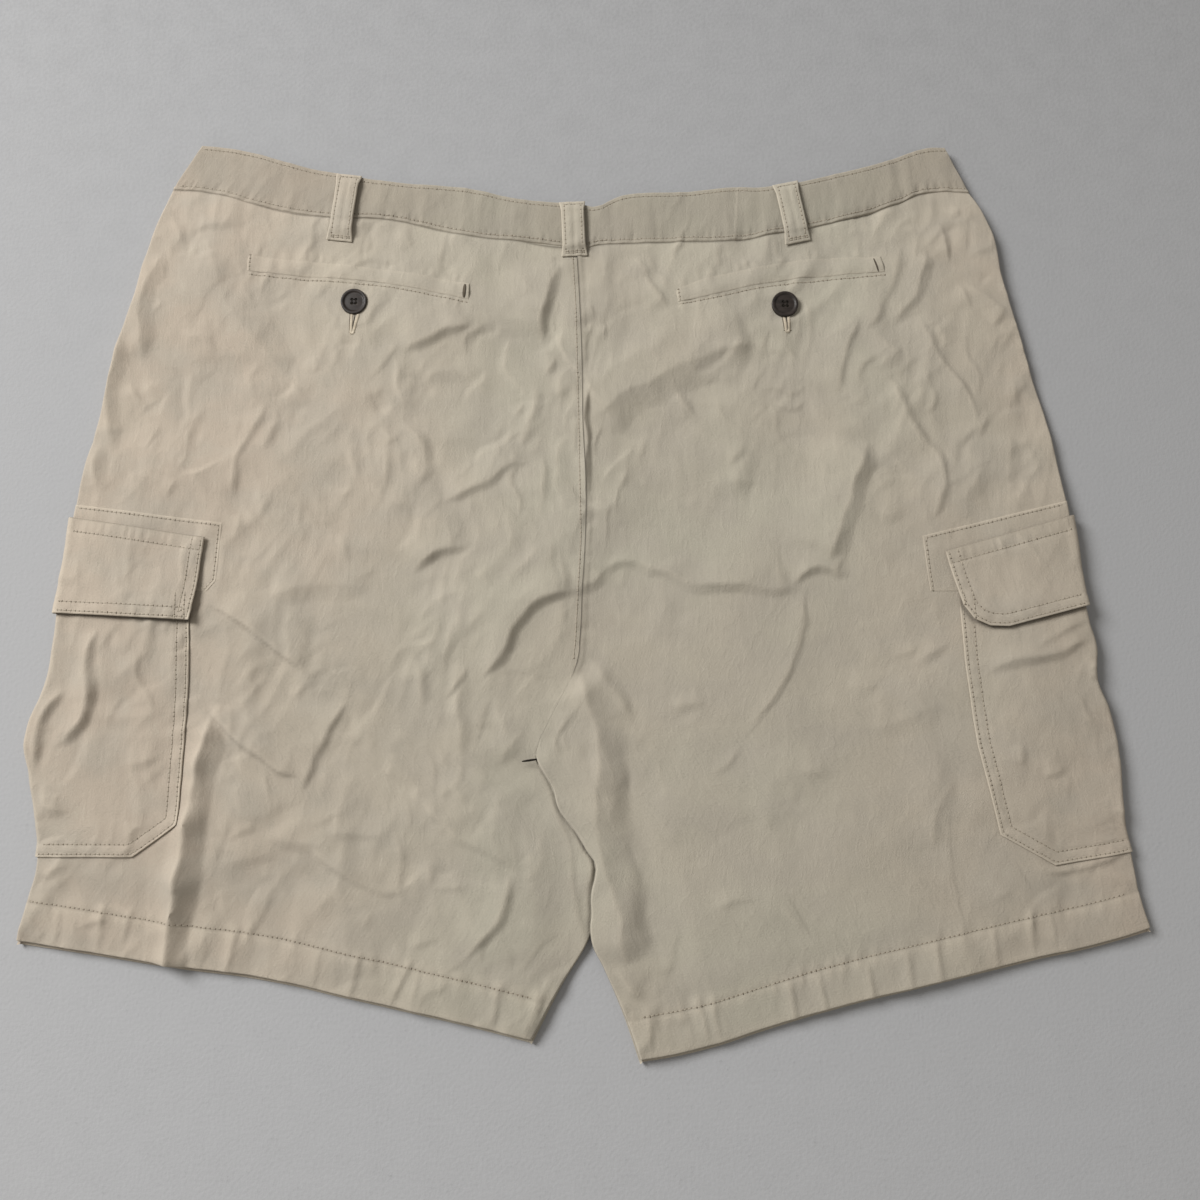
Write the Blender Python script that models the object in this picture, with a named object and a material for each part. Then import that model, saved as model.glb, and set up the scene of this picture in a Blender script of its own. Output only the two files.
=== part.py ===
"""Men's cargo shorts in stone cotton twill, laid flat with the back uppermost.

X runs across the waist towards the wearer's right, Y from the hems to the waistband and Z up from the
surface they lie on. The origin is on that surface, under the middle of the outline. The tables and the
functions work in millimetres, and MIDDLE says where that origin lies in them; points become metres when a
mesh is made.

Each leg is one flattened tube of cloth: a back layer, a rounded fold along the outseam and a front layer
on the surface. Both panels, and every piece sewn on them, are made from the points of that tube.
"""

import math
from collections import namedtuple

import bmesh
import bpy
import numpy as np
from mathutils import Vector
from mathutils.bvhtree import BVHTree

MM = 0.001  # metres
CUT_SNAP = 1e-5  # metres: a cut this near a point goes through it
MERGE = 1e-6  # metres

# Cloth, mm
CLOTH = 1.1  # wall of a panel
HEM_WALL = 1.9  # wall where the hem is turned up
HEM_DEPTH = 25.0
BAND_WALL = 2.1
BAND_PROUD = 0.8  # the band stands this far above the panels
FACING_WALL = 1.0
POCKET_WALL = 1.3
FLAP_WALL = 1.3
WELT_WALL = 1.2
LOOP_WALL = 1.3
GAP = 0.3  # between pieces that touch
SEAM_GAP = 0.5  # where two folded edges meet
BAND_GAP = 0.6  # between the band's lower edge and the panels
INNER_GAP = 1.6  # least room between the two layers of a tube
SETTLE_GAP = 0.35  # under a strip that is settled on facets of another size

# How the layers lie, mm
LOFT = 6.3  # top of the back layer above the surface
SIDE_FOLD = 2.6  # plan width of the rounded fold at a side
INSEAM_FOLD = 2.2
FIRST_COLUMN = 16.0  # distance of the first column of the flat cloth from the inner edge
SQUASHED = 3.8  # height of the left leg where the right one lies on it
CROSSING_LIFT = 4.2  # underside of the right leg over the left one
SQUASHED_REACH, LIFTED_REACH = 15.0, 19.0  # beside the middle of the crossing
FRONT_DIP = 14.0  # the front waistline lies this much lower at the centre
HEM_PEEK = 2.5  # the front layer's hem shows below the back one
FLAP_FLARE = 1.6  # a flap's free edge stands off the pocket this much more than its sewn one
FLAP_STANDS_OFF = (6.0, -30.0)  # Y where that begins, and where it is whole
UNDER_PIECE, PAST_PIECE = 36.0, 56.0  # the front layer is raised as far as the first, and down at the second
CLOSED_TO, OPEN_FROM = -96.0, -121.0  # Y: above the first the panels join at the centre seam
ROOM_BELOW = 0.1  # between the surface and what lies under the front layer
AT_SEAM = 0.99  # from this share of the drop on, a layer has reached the seam at the fold's outer edge

# What each piece under the front layer lifts it by, mm
POCKET_STACK = GAP + POCKET_WALL + ROOM_BELOW
FLAP_STACK = GAP + FLAP_WALL + ROOM_BELOW
LOOP_STACK = GAP + LOOP_WALL

# Where things start and end along a leg, as shares of the way from waist to hem
HEM_THICKENS = (0.88, 0.94)
HEM_PEEKS = (0.9, 1.0)

# How a fold dies away at its two ends, as shares of its length
FOLD_STARTS = (-0.3, 0.25)
FOLD_ENDS = (1.3, 0.75)

# Buttons, mm
BUTTON_RADIUS = 9.0
BUTTON_DEPTH = 2.8
FRONT_BUTTON_DEPTH = 2.2
BUTTON_HOLE_RADIUS = 0.95
BUTTON_HOLE_SPACING = 3.1
BUTTON_HOLES = 4
BUTTON_SIDES = 20
BUTTON_CREASE = math.radians(50)  # edges sharper than this stay sharp
DRILL_SIDES = 8
ButtonPoint = namedtuple("ButtonPoint", "radius height")  # shares of the button's radius and depth
BUTTON_PROFILE = (
    ButtonPoint(0.0, 0.0),
    ButtonPoint(0.82, 0.0),
    ButtonPoint(1.0, 0.45),
    ButtonPoint(0.92, 0.9),
    ButtonPoint(0.8, 1.0),
    ButtonPoint(0.62, 0.72),
    ButtonPoint(0.0, 0.66),
)

# Grids
ROWS_TO_CROTCH = 19
ROWS_TO_HEM = 9
HEM_ROWS = 3  # from the hem's stitching to its edge
BACK_COLUMNS = 20
FRONT_COLUMNS = 9
SETTLE_PASSES = 3
SETTLE_STEPS = 5  # places looked at along each side of a cell
LOOP_STATIONS = (0.0, 0.18, 0.3, 0.42, 0.7, 1.0)  # shares of a back loop's length
FRONT_LOOP_ROWS = 6

# The rounded fold in section: (share of its width, share of its drop), from the flat cloth to the seam
QUARTER_ROUND = ((1.0, 0.0), (0.45, 0.12), (0.11, 0.46), (0.015, 0.75), (0.0, 1.0))

Band = namedtuple("Band", "seam_x seam_y top_x top_y")
WAISTBAND = (
    Band(-286, 272, -267, 304.5),
    Band(-254, 268, -236, 300),
    Band(-223, 259, -206, 291.5),
    Band(-176, 250.5, -172, 283.5),
    Band(-130, 248, -128, 276),
    Band(-84, 237.5, -82, 272),
    Band(-43, 233, -42, 263.5),
    Band(-4, 228.5, -5, 260.5),
    Band(12, 230, 12, 258.5),
    Band(29, 230.5, 31, 267),
    Band(70, 232.5, 70, 269),
    Band(104, 233.5, 104, 272.5),
    Band(136, 239, 134, 273.5),
    Band(176, 247, 172, 281.5),
    Band(219, 260.5, 212, 292),
    Band(240, 268.5, 236, 301),
    Band(270, 268.5, 254, 302.5),
)
CENTRE = 7  # row of WAISTBAND at the centre seam
CENTRE_SHARE = CENTRE / (len(WAISTBAND) - 1)

Point = namedtuple("Point", "x y")
CENTRE_SEAM = (
    Point(-4, 228.5),
    Point(-1.5, 186),
    Point(0.7, 106),
    Point(2.5, 23),
    Point(0.6, -11),
    Point(-5.2, -44),
    Point(-11.7, -57),
    Point(-21.3, -83),
    Point(-33, -118),
)
INSEAM_LEFT = (
    Point(-22, -129),
    Point(-10, -140),
    Point(8, -165),
    Point(16, -190),
    Point(14, -212),
    Point(6.4, -232),
    Point(-11, -260),
    Point(-30, -294),
)
INSEAM_RIGHT = (
    Point(-27, -124),
    Point(-18, -139),
    Point(-11, -154),
    Point(-2, -168),
    Point(9, -188),
    Point(6.3, -227),
    Point(14.6, -250),
    Point(28, -280),
    Point(37.4, -305.5),
)
SIDE_LEFT = (
    Point(-286, 272),
    Point(-301, 226),
    Point(-308, 190),
    Point(-318, 154),
    Point(-323.5, 119),
    Point(-330, 84),
    Point(-336, 50),
    Point(-339, 16),
    Point(-341.5, -17),
    Point(-343.5, -50),
    Point(-348.5, -80),
    Point(-356, -102),
    Point(-353.5, -130),
    Point(-347, -162),
    Point(-345.5, -182),
    Point(-350, -208),
    Point(-355.5, -234),
)
SIDE_RIGHT = (
    Point(270, 268.5),
    Point(282, 245),
    Point(289, 208),
    Point(298, 172),
    Point(306, 136),
    Point(315, 101),
    Point(320, 67),
    Point(325, 33),
    Point(328, 0),
    Point(331.5, -33),
    Point(335.5, -50),
    Point(334, -64),
    Point(341.5, -90),
    Point(346, -120),
    Point(347, -162),
    Point(351, -182),
    Point(355, -208),
    Point(360, -226),
)
HEM_LEFT = (
    Point(-30, -294),
    Point(-54, -288),
    Point(-100, -277.5),
    Point(-153, -266),
    Point(-195, -257),
    Point(-248, -250),
    Point(-314, -240),
    Point(-355.5, -234),
)
HEM_RIGHT = (
    Point(37.4, -305.5),
    Point(74.5, -298.7),
    Point(113, -287.3),
    Point(161, -273.6),
    Point(209, -262.3),
    Point(286.6, -244.2),
    Point(345, -230.6),
    Point(360, -226),
)
CROSSING = (  # middle of the strip where the right leg lies on the left one
    Point(-34, -114),
    Point(-14, -139),
    Point(2, -165),
    Point(12, -190),
    Point(10, -212),
    Point(6.5, -236),
)

# Soft folds of the back layer. Left and right are the widths of its two flanks, seen from the first end.
Fold = namedtuple("Fold", "x0 y0 x1 y1 left right height")
FOLDS = (
    # left half, from the waist down
    Fold(-269, 226, -284, 256, 12, 12, 1.6),
    Fold(-297, 150, -292, 225, 12, 12, 2.4),
    Fold(-180, 122, -262, 246, 13, 13, 2.6),
    Fold(-60, 206, -46, 232, 16, 14, 1.6),
    Fold(-32, 152, -20, 218, 26, 12, 3.8),
    Fold(-26, 132, -16, 152, 12, 12, 1.6),
    Fold(-124, 150, -70, 173, 20, 12, 3.4),
    Fold(-109, 127, -79, 131, 12, 12, 1.5),
    Fold(-129, 104, -139, 131, 12, 12, -1.8),
    Fold(-114, 46, -128, 104, 20, 16, 2.2),
    Fold(-44, 80, -28, 134, 12, 12, 1.8),
    Fold(-220, 74, -201, 124, 16, 12, 2.0),
    Fold(-231, 26, -234, 78, 14, 12, 2.4),
    Fold(-270, 56, -256, 110, 12, 12, 2.0),
    Fold(-200, 180, -206, 60, 30, 34, 1.3),
    Fold(-98, 44, -38, 75, 20, 12, 2.6),
    Fold(-25, 84, -23, 42, 12, 12, 1.4),
    Fold(-120, -3, -62, 23, 24, 12, 3.6),
    Fold(-210, -16, -138, -9, 22, 14, 2.0),
    Fold(-243, -22, -174, -64, 14, 14, 2.2),
    Fold(-72, -80, -47, -44, 22, 12, 3.8),
    Fold(-48, -40, 2, -7, 26, 12, 3.6),
    Fold(-90, -86, -73, -60, 14, 12, 2.6),
    Fold(-74, -122, -75, -70, 12, 12, 2.2),
    Fold(-100, -94, -106, -50, 14, 12, 1.8),
    Fold(-178, -140, -154, -86, 20, 12, 3.0),
    Fold(-182, -170, -185, -140, 12, 12, -1.6),
    Fold(-230, -102, -187, -131, 14, 14, 1.8),
    Fold(-206, -171, -150, -180, 16, 12, 2.0),
    Fold(-149, -192, -114, -205, 14, 12, 1.6),
    Fold(-109, -147, -41, -197, 14, 14, 1.8),
    Fold(-72, -252, -43, -190, 18, 12, 3.0),
    Fold(-260, -264, -239, -100, 34, 14, 4.4),
    Fold(-334, -118, -317, -42, 12, 12, 3.0),
    Fold(-347, -131, -327, -78, 12, 12, 2.2),
    Fold(-347, -134, -323, -157, 12, 12, 1.8),
    Fold(-296, -128, -261, -121, 14, 12, 1.5),
    Fold(-344, -197, -318, -188, 12, 12, 2.0),
    Fold(-130, -190, -128, -262, 34, 30, 1.4),
    # right half, from the waist down
    Fold(37, 224, 48, 207, 12, 12, 1.6),
    Fold(65, 180, 43, 211, 16, 12, 2.4),
    Fold(6, 106, 88, 158, 36, 13, 4.4),
    Fold(88, 159, 124, 170, 16, 12, 2.6),
    Fold(203, 176, 222, 234, 14, 12, 2.4),
    Fold(224, 182, 239, 230, 12, 12, 3.0),
    Fold(254, 214, 249, 248, 12, 12, 2.2),
    Fold(175, 119, 194, 180, 14, 12, 2.0),
    Fold(201, 138, 224, 155, 16, 12, 3.0),
    Fold(270, 98, 234, 184, 14, 12, 2.0),
    Fold(246, 66, 211, 138, 14, 12, 2.8),
    Fold(231, 30, 246, 70, 12, 12, 2.4),
    Fold(252, 43, 274, 90, 14, 14, 1.6),
    Fold(289, 56, 293, 100, 14, 12, 1.5),
    Fold(282, 168, 293, 187, 12, 12, 1.5),
    Fold(161, -2, 193, 92, 30, 12, 4.4),
    Fold(12, -22, 47, 5, 18, 12, 2.6),
    Fold(46, 3, 158, -6, 20, 12, 2.8),
    Fold(158, -2, 186, -3, 14, 12, 2.2),
    Fold(80, -134, 118, -94, 14, 12, 1.6),
    Fold(116, -98, 148, -14, 18, 12, 2.0),
    Fold(39, -100, 5, -52, 12, 12, 2.6),
    Fold(260, -69, 330, -45, 12, 12, 2.6),
    Fold(183, -108, 240, -88, 22, 22, 1.8),
    Fold(134, -132, 168, -132, 14, 12, 1.5),
    Fold(200, -60, 245, -46, 14, 14, 1.5),
    Fold(208, -212, 238, -138, 28, 16, 2.2),
    Fold(79, -217, 117, -211, 14, 12, 1.7),
    Fold(258, -214, 279, -202, 14, 12, 1.6),
    Fold(16, -253, 41, -271, 12, 12, 2.2),
    Fold(110, -190, 250, -170, 44, 50, 1.6),
    Fold(70, -292, 320, -236, 60, 60, 1.8),
)

# Plans of the pieces that wrap round a side, anticlockwise and running past the side fold
FACING_LEFT = (
    Point(-238, 34),
    Point(-420, 57.5),
    Point(-420, -11.7),
    Point(-250, -11.7),
    Point(-240, -5),
)
POCKET_LEFT = (
    Point(-256.5, -12.3),
    Point(-420, -12.3),
    Point(-420, -182.4),
    Point(-284, -182.4),
    Point(-256, -162),
    Point(-254.3, -70),
)
FLAP_LEFT = (
    Point(-248, 24),
    Point(-420, 50),
    Point(-420, -22),
    Point(-342, -27),
    Point(-254.4, -31.3),
)
FACING_RIGHT = (
    Point(420, 72.5),
    Point(226, 25.4),
    Point(229.6, -11.7),
    Point(420, -11.7),
)
POCKET_RIGHT = (
    Point(420, -12.3),
    Point(248, -12.3),
    Point(250, -62),
    Point(255, -112),
    Point(267, -168.6),
    Point(301, -187.5),
    Point(420, -166.5),
)
FLAP_RIGHT = (
    Point(420, 64.5),
    Point(239.7, 14.9),
    Point(244.9, -5),
    Point(249.5, -21.3),
    Point(256, -30.5),
    Point(266, -35),
    Point(278, -35.5),
    Point(420, 1),
)

# Strips sewn on the back: the two long edges, from one end to the other
Strip = namedtuple("Strip", "near_x near_y far_x far_y")
WELT_LEFT = (
    Strip(-230, 209, -230, 223.2),
    Strip(-194.4, 205.5, -194, 219.2),
    Strip(-158.8, 202.3, -157, 215.5),
    Strip(-127, 198.2, -126, 211.2),
    Strip(-107.3, 194.4, -106, 207.8),
    Strip(-77.2, 187.8, -76.9, 201.3),
)
WELT_RIGHT = (
    Strip(65.9, 186.1, 64.5, 197.8),
    Strip(90, 191.2, 86, 206),
    Strip(111.2, 196.7, 109, 211.5),
    Strip(132.3, 201.1, 130.5, 216.2),
    Strip(170, 205.8, 168, 221.3),
    Strip(208.3, 207.8, 205.6, 221.1),
)
LOOPS_BACK = {
    "left": Strip(-167.5, 232.7, -161.7, 280.2),
    "centre": Strip(-5, 221.5, -6.8, 259.6),
    "right": Strip(149.2, 231.5, 140.9, 273.6),
}
LOOP_WIDTH = 18.0
FRONT_LOOPS = {"left": -118.0, "right": 108.0}  # X of each
FRONT_LOOP_ABOVE, FRONT_LOOP_BELOW = 34.0, 15.0  # reach of each from the band's seam
FRONT_LOOP_END = 206.0  # Y that neither reaches below
BACK_BUTTONS = {"left": Point(-155.6, 188.2), "right": Point(138.9, 186.5)}
FRONT_BUTTON = Point(-4, 231)
FRONT_SPLIT = 0.49  # share of the band's length where the two halves of the front band meet
SPLIT_GAP = 0.0006  # 0.3 mm as a share of that length
CLEAR_OF_SPLIT = 0.01

MIDDLE = Point(1.0, -1.75)  # middle of the outline in the tables' own X and Y

# Colours, linear
TWILL = (0.376, 0.328, 0.262)
BUTTON_BROWN = (0.032, 0.022, 0.016)


def smooth(low, high, value):
    """0 at low, 1 at high, with an even ease between; low may be the larger."""
    share = np.clip((value - low) / (high - low), 0.0, 1.0)
    return share * share * (3.0 - 2.0 * share)


def through(known, values, wanted):
    """A smooth curve through values at the rising or falling places known, read where wanted."""
    known, values = np.asarray(known, float), np.asarray(values, float)
    if known[0] > known[-1]:
        known, values = known[::-1], values[::-1]
    slopes = np.gradient(values, known)
    index = np.clip(np.searchsorted(known, wanted, side="right") - 1, 0, len(known) - 2)
    step = known[index + 1] - known[index]
    share = (wanted - known[index]) / step
    start = values[index] + slopes[index] * step * share
    end = values[index + 1] - slopes[index + 1] * step * (1.0 - share)
    blend = share * share * (3.0 - 2.0 * share)
    return start * (1.0 - blend) + end * blend


def along_x(points, wanted):
    return through([p.x for p in points], [p.y for p in points], wanted)


def along_y(points, wanted):
    return through([p.y for p in points], [p.x for p in points], wanted)


def outside(polygon, x, y):
    """How far a place lies outside an anticlockwise convex polygon; negative within it."""
    found = np.full(np.shape(x), -np.inf)
    for p, q in zip(polygon, polygon[1:] + polygon[:1]):
        length = math.hypot(q.x - p.x, q.y - p.y)
        found = np.maximum(found, ((x - p.x) * (q.y - p.y) - (y - p.y) * (q.x - p.x)) / length)
    return found


def from_line(points, x, y):
    """Distance to a line of points."""
    found = np.full(np.shape(x), np.inf)
    for p, q in zip(points, points[1:]):
        dx, dy = q.x - p.x, q.y - p.y
        share = np.clip(((x - p.x) * dx + (y - p.y) * dy) / (dx * dx + dy * dy), 0.0, 1.0)
        found = np.minimum(found, np.hypot(x - p.x - share * dx, y - p.y - share * dy))
    return found


# One half of the shorts. Its inner edge is the centre seam and then the inseam.
Leg = namedtuple("Leg", "name sign inner side hem facing pocket flap")
INNER_LEFT = CENTRE_SEAM + INSEAM_LEFT
INNER_RIGHT = CENTRE_SEAM + INSEAM_RIGHT
LEGS = {
    "left": Leg("left", -1, INNER_LEFT, SIDE_LEFT, HEM_LEFT, FACING_LEFT, POCKET_LEFT, FLAP_LEFT),
    "right": Leg("right", 1, INNER_RIGHT, SIDE_RIGHT, HEM_RIGHT, FACING_RIGHT, POCKET_RIGHT, FLAP_RIGHT),
}


def band_point(share):
    """Seam and top points of the waistband; share runs from 0 at the left side to 1 at the right one."""
    rows = np.linspace(0.0, 1.0, len(WAISTBAND))
    return [through(rows, column, share) for column in zip(*WAISTBAND)]


def front_dip(x):
    """How much lower the front waistline lies than the back one."""
    centre = WAISTBAND[CENTRE].seam_x
    side = np.where(x < centre, WAISTBAND[0].seam_x, WAISTBAND[-1].seam_x)
    return FRONT_DIP * np.clip(1.0 - ((x - centre) / (side - centre)) ** 2, 0.0, 1.0)


def crossing(x, y, reach):
    """1 where the legs cross below the crotch, as far as reach beside it, easing to 0 over twice that."""
    return smooth(3.0 * reach, reach, from_line(CROSSING, x, y))


def raised(beyond):
    """1 over a piece underneath and a cell of the front layer's grid beyond it, easing to 0 after that."""
    return smooth(PAST_PIECE, UNDER_PIECE, beyond)


def floor_lift(leg, x, y):
    """Height of the front layer's underside: on the surface, or over what lies under it."""
    lift = np.zeros(np.shape(x))
    for name in ("left", "right"):
        side = LEGS[name]
        worn = np.minimum(outside(side.pocket, x, y), outside(side.facing, x, y))
        lift += POCKET_STACK * raised(worn)
        lift += FLAP_STACK * raised(outside(side.flap, x, y))
        beside_loop = np.abs(x - FRONT_LOOPS[name]) - LOOP_WIDTH / 2.0
        below_loop = FRONT_LOOP_END - y
        lift = np.maximum(lift, LOOP_STACK * raised(np.maximum(beside_loop, below_loop)))
    from_button = np.hypot(x - FRONT_BUTTON.x, y - FRONT_BUTTON.y) - BUTTON_RADIUS
    lift = np.maximum(lift, (FRONT_BUTTON_DEPTH + GAP) * raised(from_button))
    if leg.sign > 0:
        lift = np.maximum(lift, CROSSING_LIFT * crossing(x, y, LIFTED_REACH))
    return lift


def folds(x, y):
    total = np.zeros(np.shape(x))
    for fold in FOLDS:
        dx, dy = fold.x1 - fold.x0, fold.y1 - fold.y0
        length = math.hypot(dx, dy)
        along = ((x - fold.x0) * dx + (y - fold.y0) * dy) / length**2
        across = ((x - fold.x0) * dy - (y - fold.y0) * dx) / length
        width = np.where(across > 0.0, fold.right, fold.left)
        ends = smooth(*FOLD_STARTS, along) * smooth(*FOLD_ENDS, along)
        total += fold.height * np.exp(-((across / width) ** 2)) * ends
    return total


def top_height(leg, x, y, down):
    """Height of the back layer's upper face; down is the share of the way from the waist to the hem."""
    floor = floor_lift(leg, x, y)
    free = LOFT + folds(x, y)
    crossed = SQUASHED if leg.sign < 0 else CROSSING_LIFT + SQUASHED
    share = crossing(x, y, LIFTED_REACH if leg.sign > 0 else SQUASHED_REACH)
    height = free * (1.0 - share) + crossed * share
    turned_up = 2.0 * (HEM_WALL - CLOTH) * smooth(*HEM_THICKENS, down)
    return np.maximum(height, floor + 2.0 * CLOTH + INNER_GAP + turned_up)


def rows_of(leg):
    """Shares of the way from waist to hem, with rows at the crotch and at the hem's stitching."""
    top, bottom = leg.inner[0].y, leg.inner[-1].y
    crotch = (top - CENTRE_SEAM[-1].y) / (top - bottom)
    stitching = 1.0 - HEM_DEPTH / (top - bottom)
    upper = np.linspace(0.0, crotch, ROWS_TO_CROTCH)
    lower = np.linspace(crotch, stitching, ROWS_TO_HEM)
    return np.concatenate([upper, lower[1:], np.linspace(stitching, 1.0, HEM_ROWS)[1:]])


def plan(leg, across, down):
    """Place of a point of the leg seen from above: across from the centre to the side, down to the hem."""
    side_share = (leg.sign + 1) / 2.0
    hem_x = leg.hem[0].x + across * (leg.hem[-1].x - leg.hem[0].x)
    inner_y = leg.inner[0].y + down * (leg.inner[-1].y - leg.inner[0].y)
    side_y = leg.side[0].y + down * (leg.side[-1].y - leg.side[0].y)
    waist = np.stack(band_point(CENTRE_SHARE + across * (side_share - CENTRE_SHARE))[:2], -1)
    hem = np.stack([hem_x, along_x(leg.hem, hem_x)], -1)
    inner = np.stack([along_y(leg.inner, inner_y), inner_y], -1)
    side = np.stack([along_y(leg.side, side_y), side_y], -1)
    a, d = across[..., None], down[..., None]
    corners = (1.0 - a) * (1.0 - d) * np.array(leg.inner[0]) + a * (1.0 - d) * np.array(leg.side[0])
    corners += (1.0 - a) * d * np.array(leg.inner[-1]) + a * d * np.array(leg.side[-1])
    placed = (1.0 - d) * waist + d * hem + (1.0 - a) * inner + a * side - corners
    placed[..., 0] += leg.sign * 0.5 * GAP * (1.0 - across)
    return placed


def places_across(width, columns):
    """Shares from the inner edge to the outseam, close together where the cloth turns round an edge."""
    inner = [INSEAM_FOLD * share for share, _ in QUARTER_ROUND[::-1]]
    side = [width - SIDE_FOLD * share for share, _ in QUARTER_ROUND]
    middle = np.linspace(FIRST_COLUMN, width - SIDE_FOLD, columns)[:-1]
    return np.array([*inner, *middle, *side]) / width


def layer(leg, columns, front):
    """Outer face of one layer of a leg, row by row from its inner edge to the outseam."""
    down = rows_of(leg)
    ends = [plan(leg, np.full(len(down), edge), down) for edge in (0.0, 1.0)]
    width = np.hypot(*(ends[1] - ends[0]).T)
    drops = np.array([drop for _, drop in QUARTER_ROUND])
    round_columns = len(QUARTER_ROUND)
    grid = []
    for row, share in enumerate(down):
        across = places_across(width[row], columns)
        xy = plan(leg, across, np.full(len(across), share))
        if front:
            xy[:, 1] -= front_dip(xy[:, 0]) * (1.0 - share) ** 3
            xy[:, 1] -= HEM_PEEK * smooth(*HEM_PEEKS, share)
        top, floor = top_height(leg, *xy.T, share), floor_lift(leg, *xy.T)
        share_of_drop = np.zeros(len(across))
        share_of_drop[:round_columns] = drops[::-1] * smooth(CLOSED_TO, OPEN_FROM, xy[0, 1])
        share_of_drop[-round_columns:] = drops
        half = (top - floor) / 2.0
        half[:round_columns] = half[0]
        half[-round_columns:] = half[-1]
        if front:
            height = floor + half * share_of_drop
            height -= 0.5 * SEAM_GAP * (share_of_drop > AT_SEAM)
        else:
            height = top - half * share_of_drop
            height += 0.5 * SEAM_GAP * (share_of_drop > AT_SEAM)
        grid.append(np.column_stack([xy, height]))
    return np.array(grid)


def sheet_of(grid, flip):
    """A bmesh of two triangles per cell of a grid of points, in metres."""
    sheet = bmesh.new()
    rows = [[sheet.verts.new(Vector(point) * MM) for point in row] for row in grid]
    for upper, lower in zip(rows, rows[1:]):
        for i in range(len(upper) - 1):
            above = [upper[i], upper[i + 1], lower[i + 1]]
            below = [upper[i], lower[i + 1], lower[i]]
            for corners in (above, below):
                sheet.faces.new(corners[::-1] if flip else corners)
    sheet.normal_update()
    return sheet


def material(name, colour, roughness):
    found = bpy.data.materials.new(name)
    found.use_nodes = True
    shader = found.node_tree.nodes["Principled BSDF"]
    shader.inputs["Base Color"].default_value = (*colour, 1.0)
    shader.inputs["Roughness"].default_value = roughness
    return found


def piece(name, sheet, finish):
    mesh = bpy.data.meshes.new(name)
    sheet.to_mesh(mesh)
    sheet.free()
    mesh.shade_smooth()
    made = bpy.data.objects.new(name, mesh)
    mesh.materials.append(material(name, *finish))
    bpy.context.scene.collection.objects.link(made)
    made.parent = bpy.data.objects["origin"]
    return made


def thicken(made, wall, outwards=False):
    solid = made.modifiers.new("Cloth", "SOLIDIFY")
    solid.thickness = wall * MM
    solid.offset = 1.0 if outwards else -1.0
    return solid


TWILL_FINISH = (TWILL, 0.92)
BUTTON_FINISH = (BUTTON_BROWN, 0.35)


def make_panel(leg, front):
    grid = layer(leg, FRONT_COLUMNS if front else BACK_COLUMNS, front)
    round_the_leg = grid[:, ::-1] if front else grid
    name = f"{'front' if front else 'back'}_panel_{leg.name}"
    made = piece(name, sheet_of(round_the_leg, flip=leg.sign > 0), TWILL_FINISH)
    turned_up = made.vertex_groups.new(name="turned up hem")
    columns = grid.shape[1]
    first = columns * (len(grid) - HEM_ROWS)
    turned_up.add(list(range(first, columns * len(grid))), 1.0, "REPLACE")
    wall = thicken(made, HEM_WALL)
    wall.vertex_group = turned_up.name
    wall.thickness_vertex_group = CLOTH / HEM_WALL
    return grid


def wrapping_sheet(leg, back, front):
    """The outer face of the whole tube, from the back layer round the side to the front layer."""
    seam = (back[:, -1] + front[:, -1]) / 2.0
    grid = np.concatenate([back[:, :-1], seam[:, None], front[:, -2::-1]], axis=1)
    return sheet_of(grid, flip=leg.sign > 0)


def cut_out(sheet, polygon):
    """Keeps what of the sheet lies over an anticlockwise convex plan."""
    for p, q in zip(polygon, polygon[1:] + polygon[:1]):
        away = Vector((q.y - p.y, p.x - q.x, 0.0))
        everything = [*sheet.verts, *sheet.edges, *sheet.faces]
        bmesh.ops.bisect_plane(
            sheet,
            geom=everything,
            plane_co=Vector((p.x, p.y, 0.0)) * MM,
            plane_no=away,
            clear_outer=True,
            dist=CUT_SNAP,
        )
    sheet.normal_update()


def make_wrapped(name, sheet, polygon, out, wall, flare=None):
    """A piece that lies on a leg's cloth and wraps round its side: the cloth's own points, moved out."""
    cut_out(sheet, polygon)
    for vert in sheet.verts:
        move = out
        if flare is not None:
            move += flare(vert.co / MM) * max(0.0, vert.normal.z)
        vert.co += vert.normal * (move * MM)
    thicken(piece(name, sheet, TWILL_FINISH), wall, outwards=True)


def make_cargo_pocket(leg, back, front):
    """The facing, the pocket and the flap of one leg. The flap stands off more towards its free edge."""

    def flap_flare(place):
        return FLAP_FLARE * float(smooth(*FLAP_STANDS_OFF, place.y))


    over_pocket = 2.0 * GAP + POCKET_WALL
    layers = (
        ("pocket_facing", leg.facing, GAP, FACING_WALL, None),
        ("cargo_pocket", leg.pocket, GAP, POCKET_WALL, None),
        ("pocket_flap", leg.flap, over_pocket, FLAP_WALL, flap_flare),
    )
    for name, polygon, out, wall, flare in layers:
        sheet = wrapping_sheet(leg, back, front)
        make_wrapped(f"{name}_{leg.name}", sheet, polygon, out, wall, flare)


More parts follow.
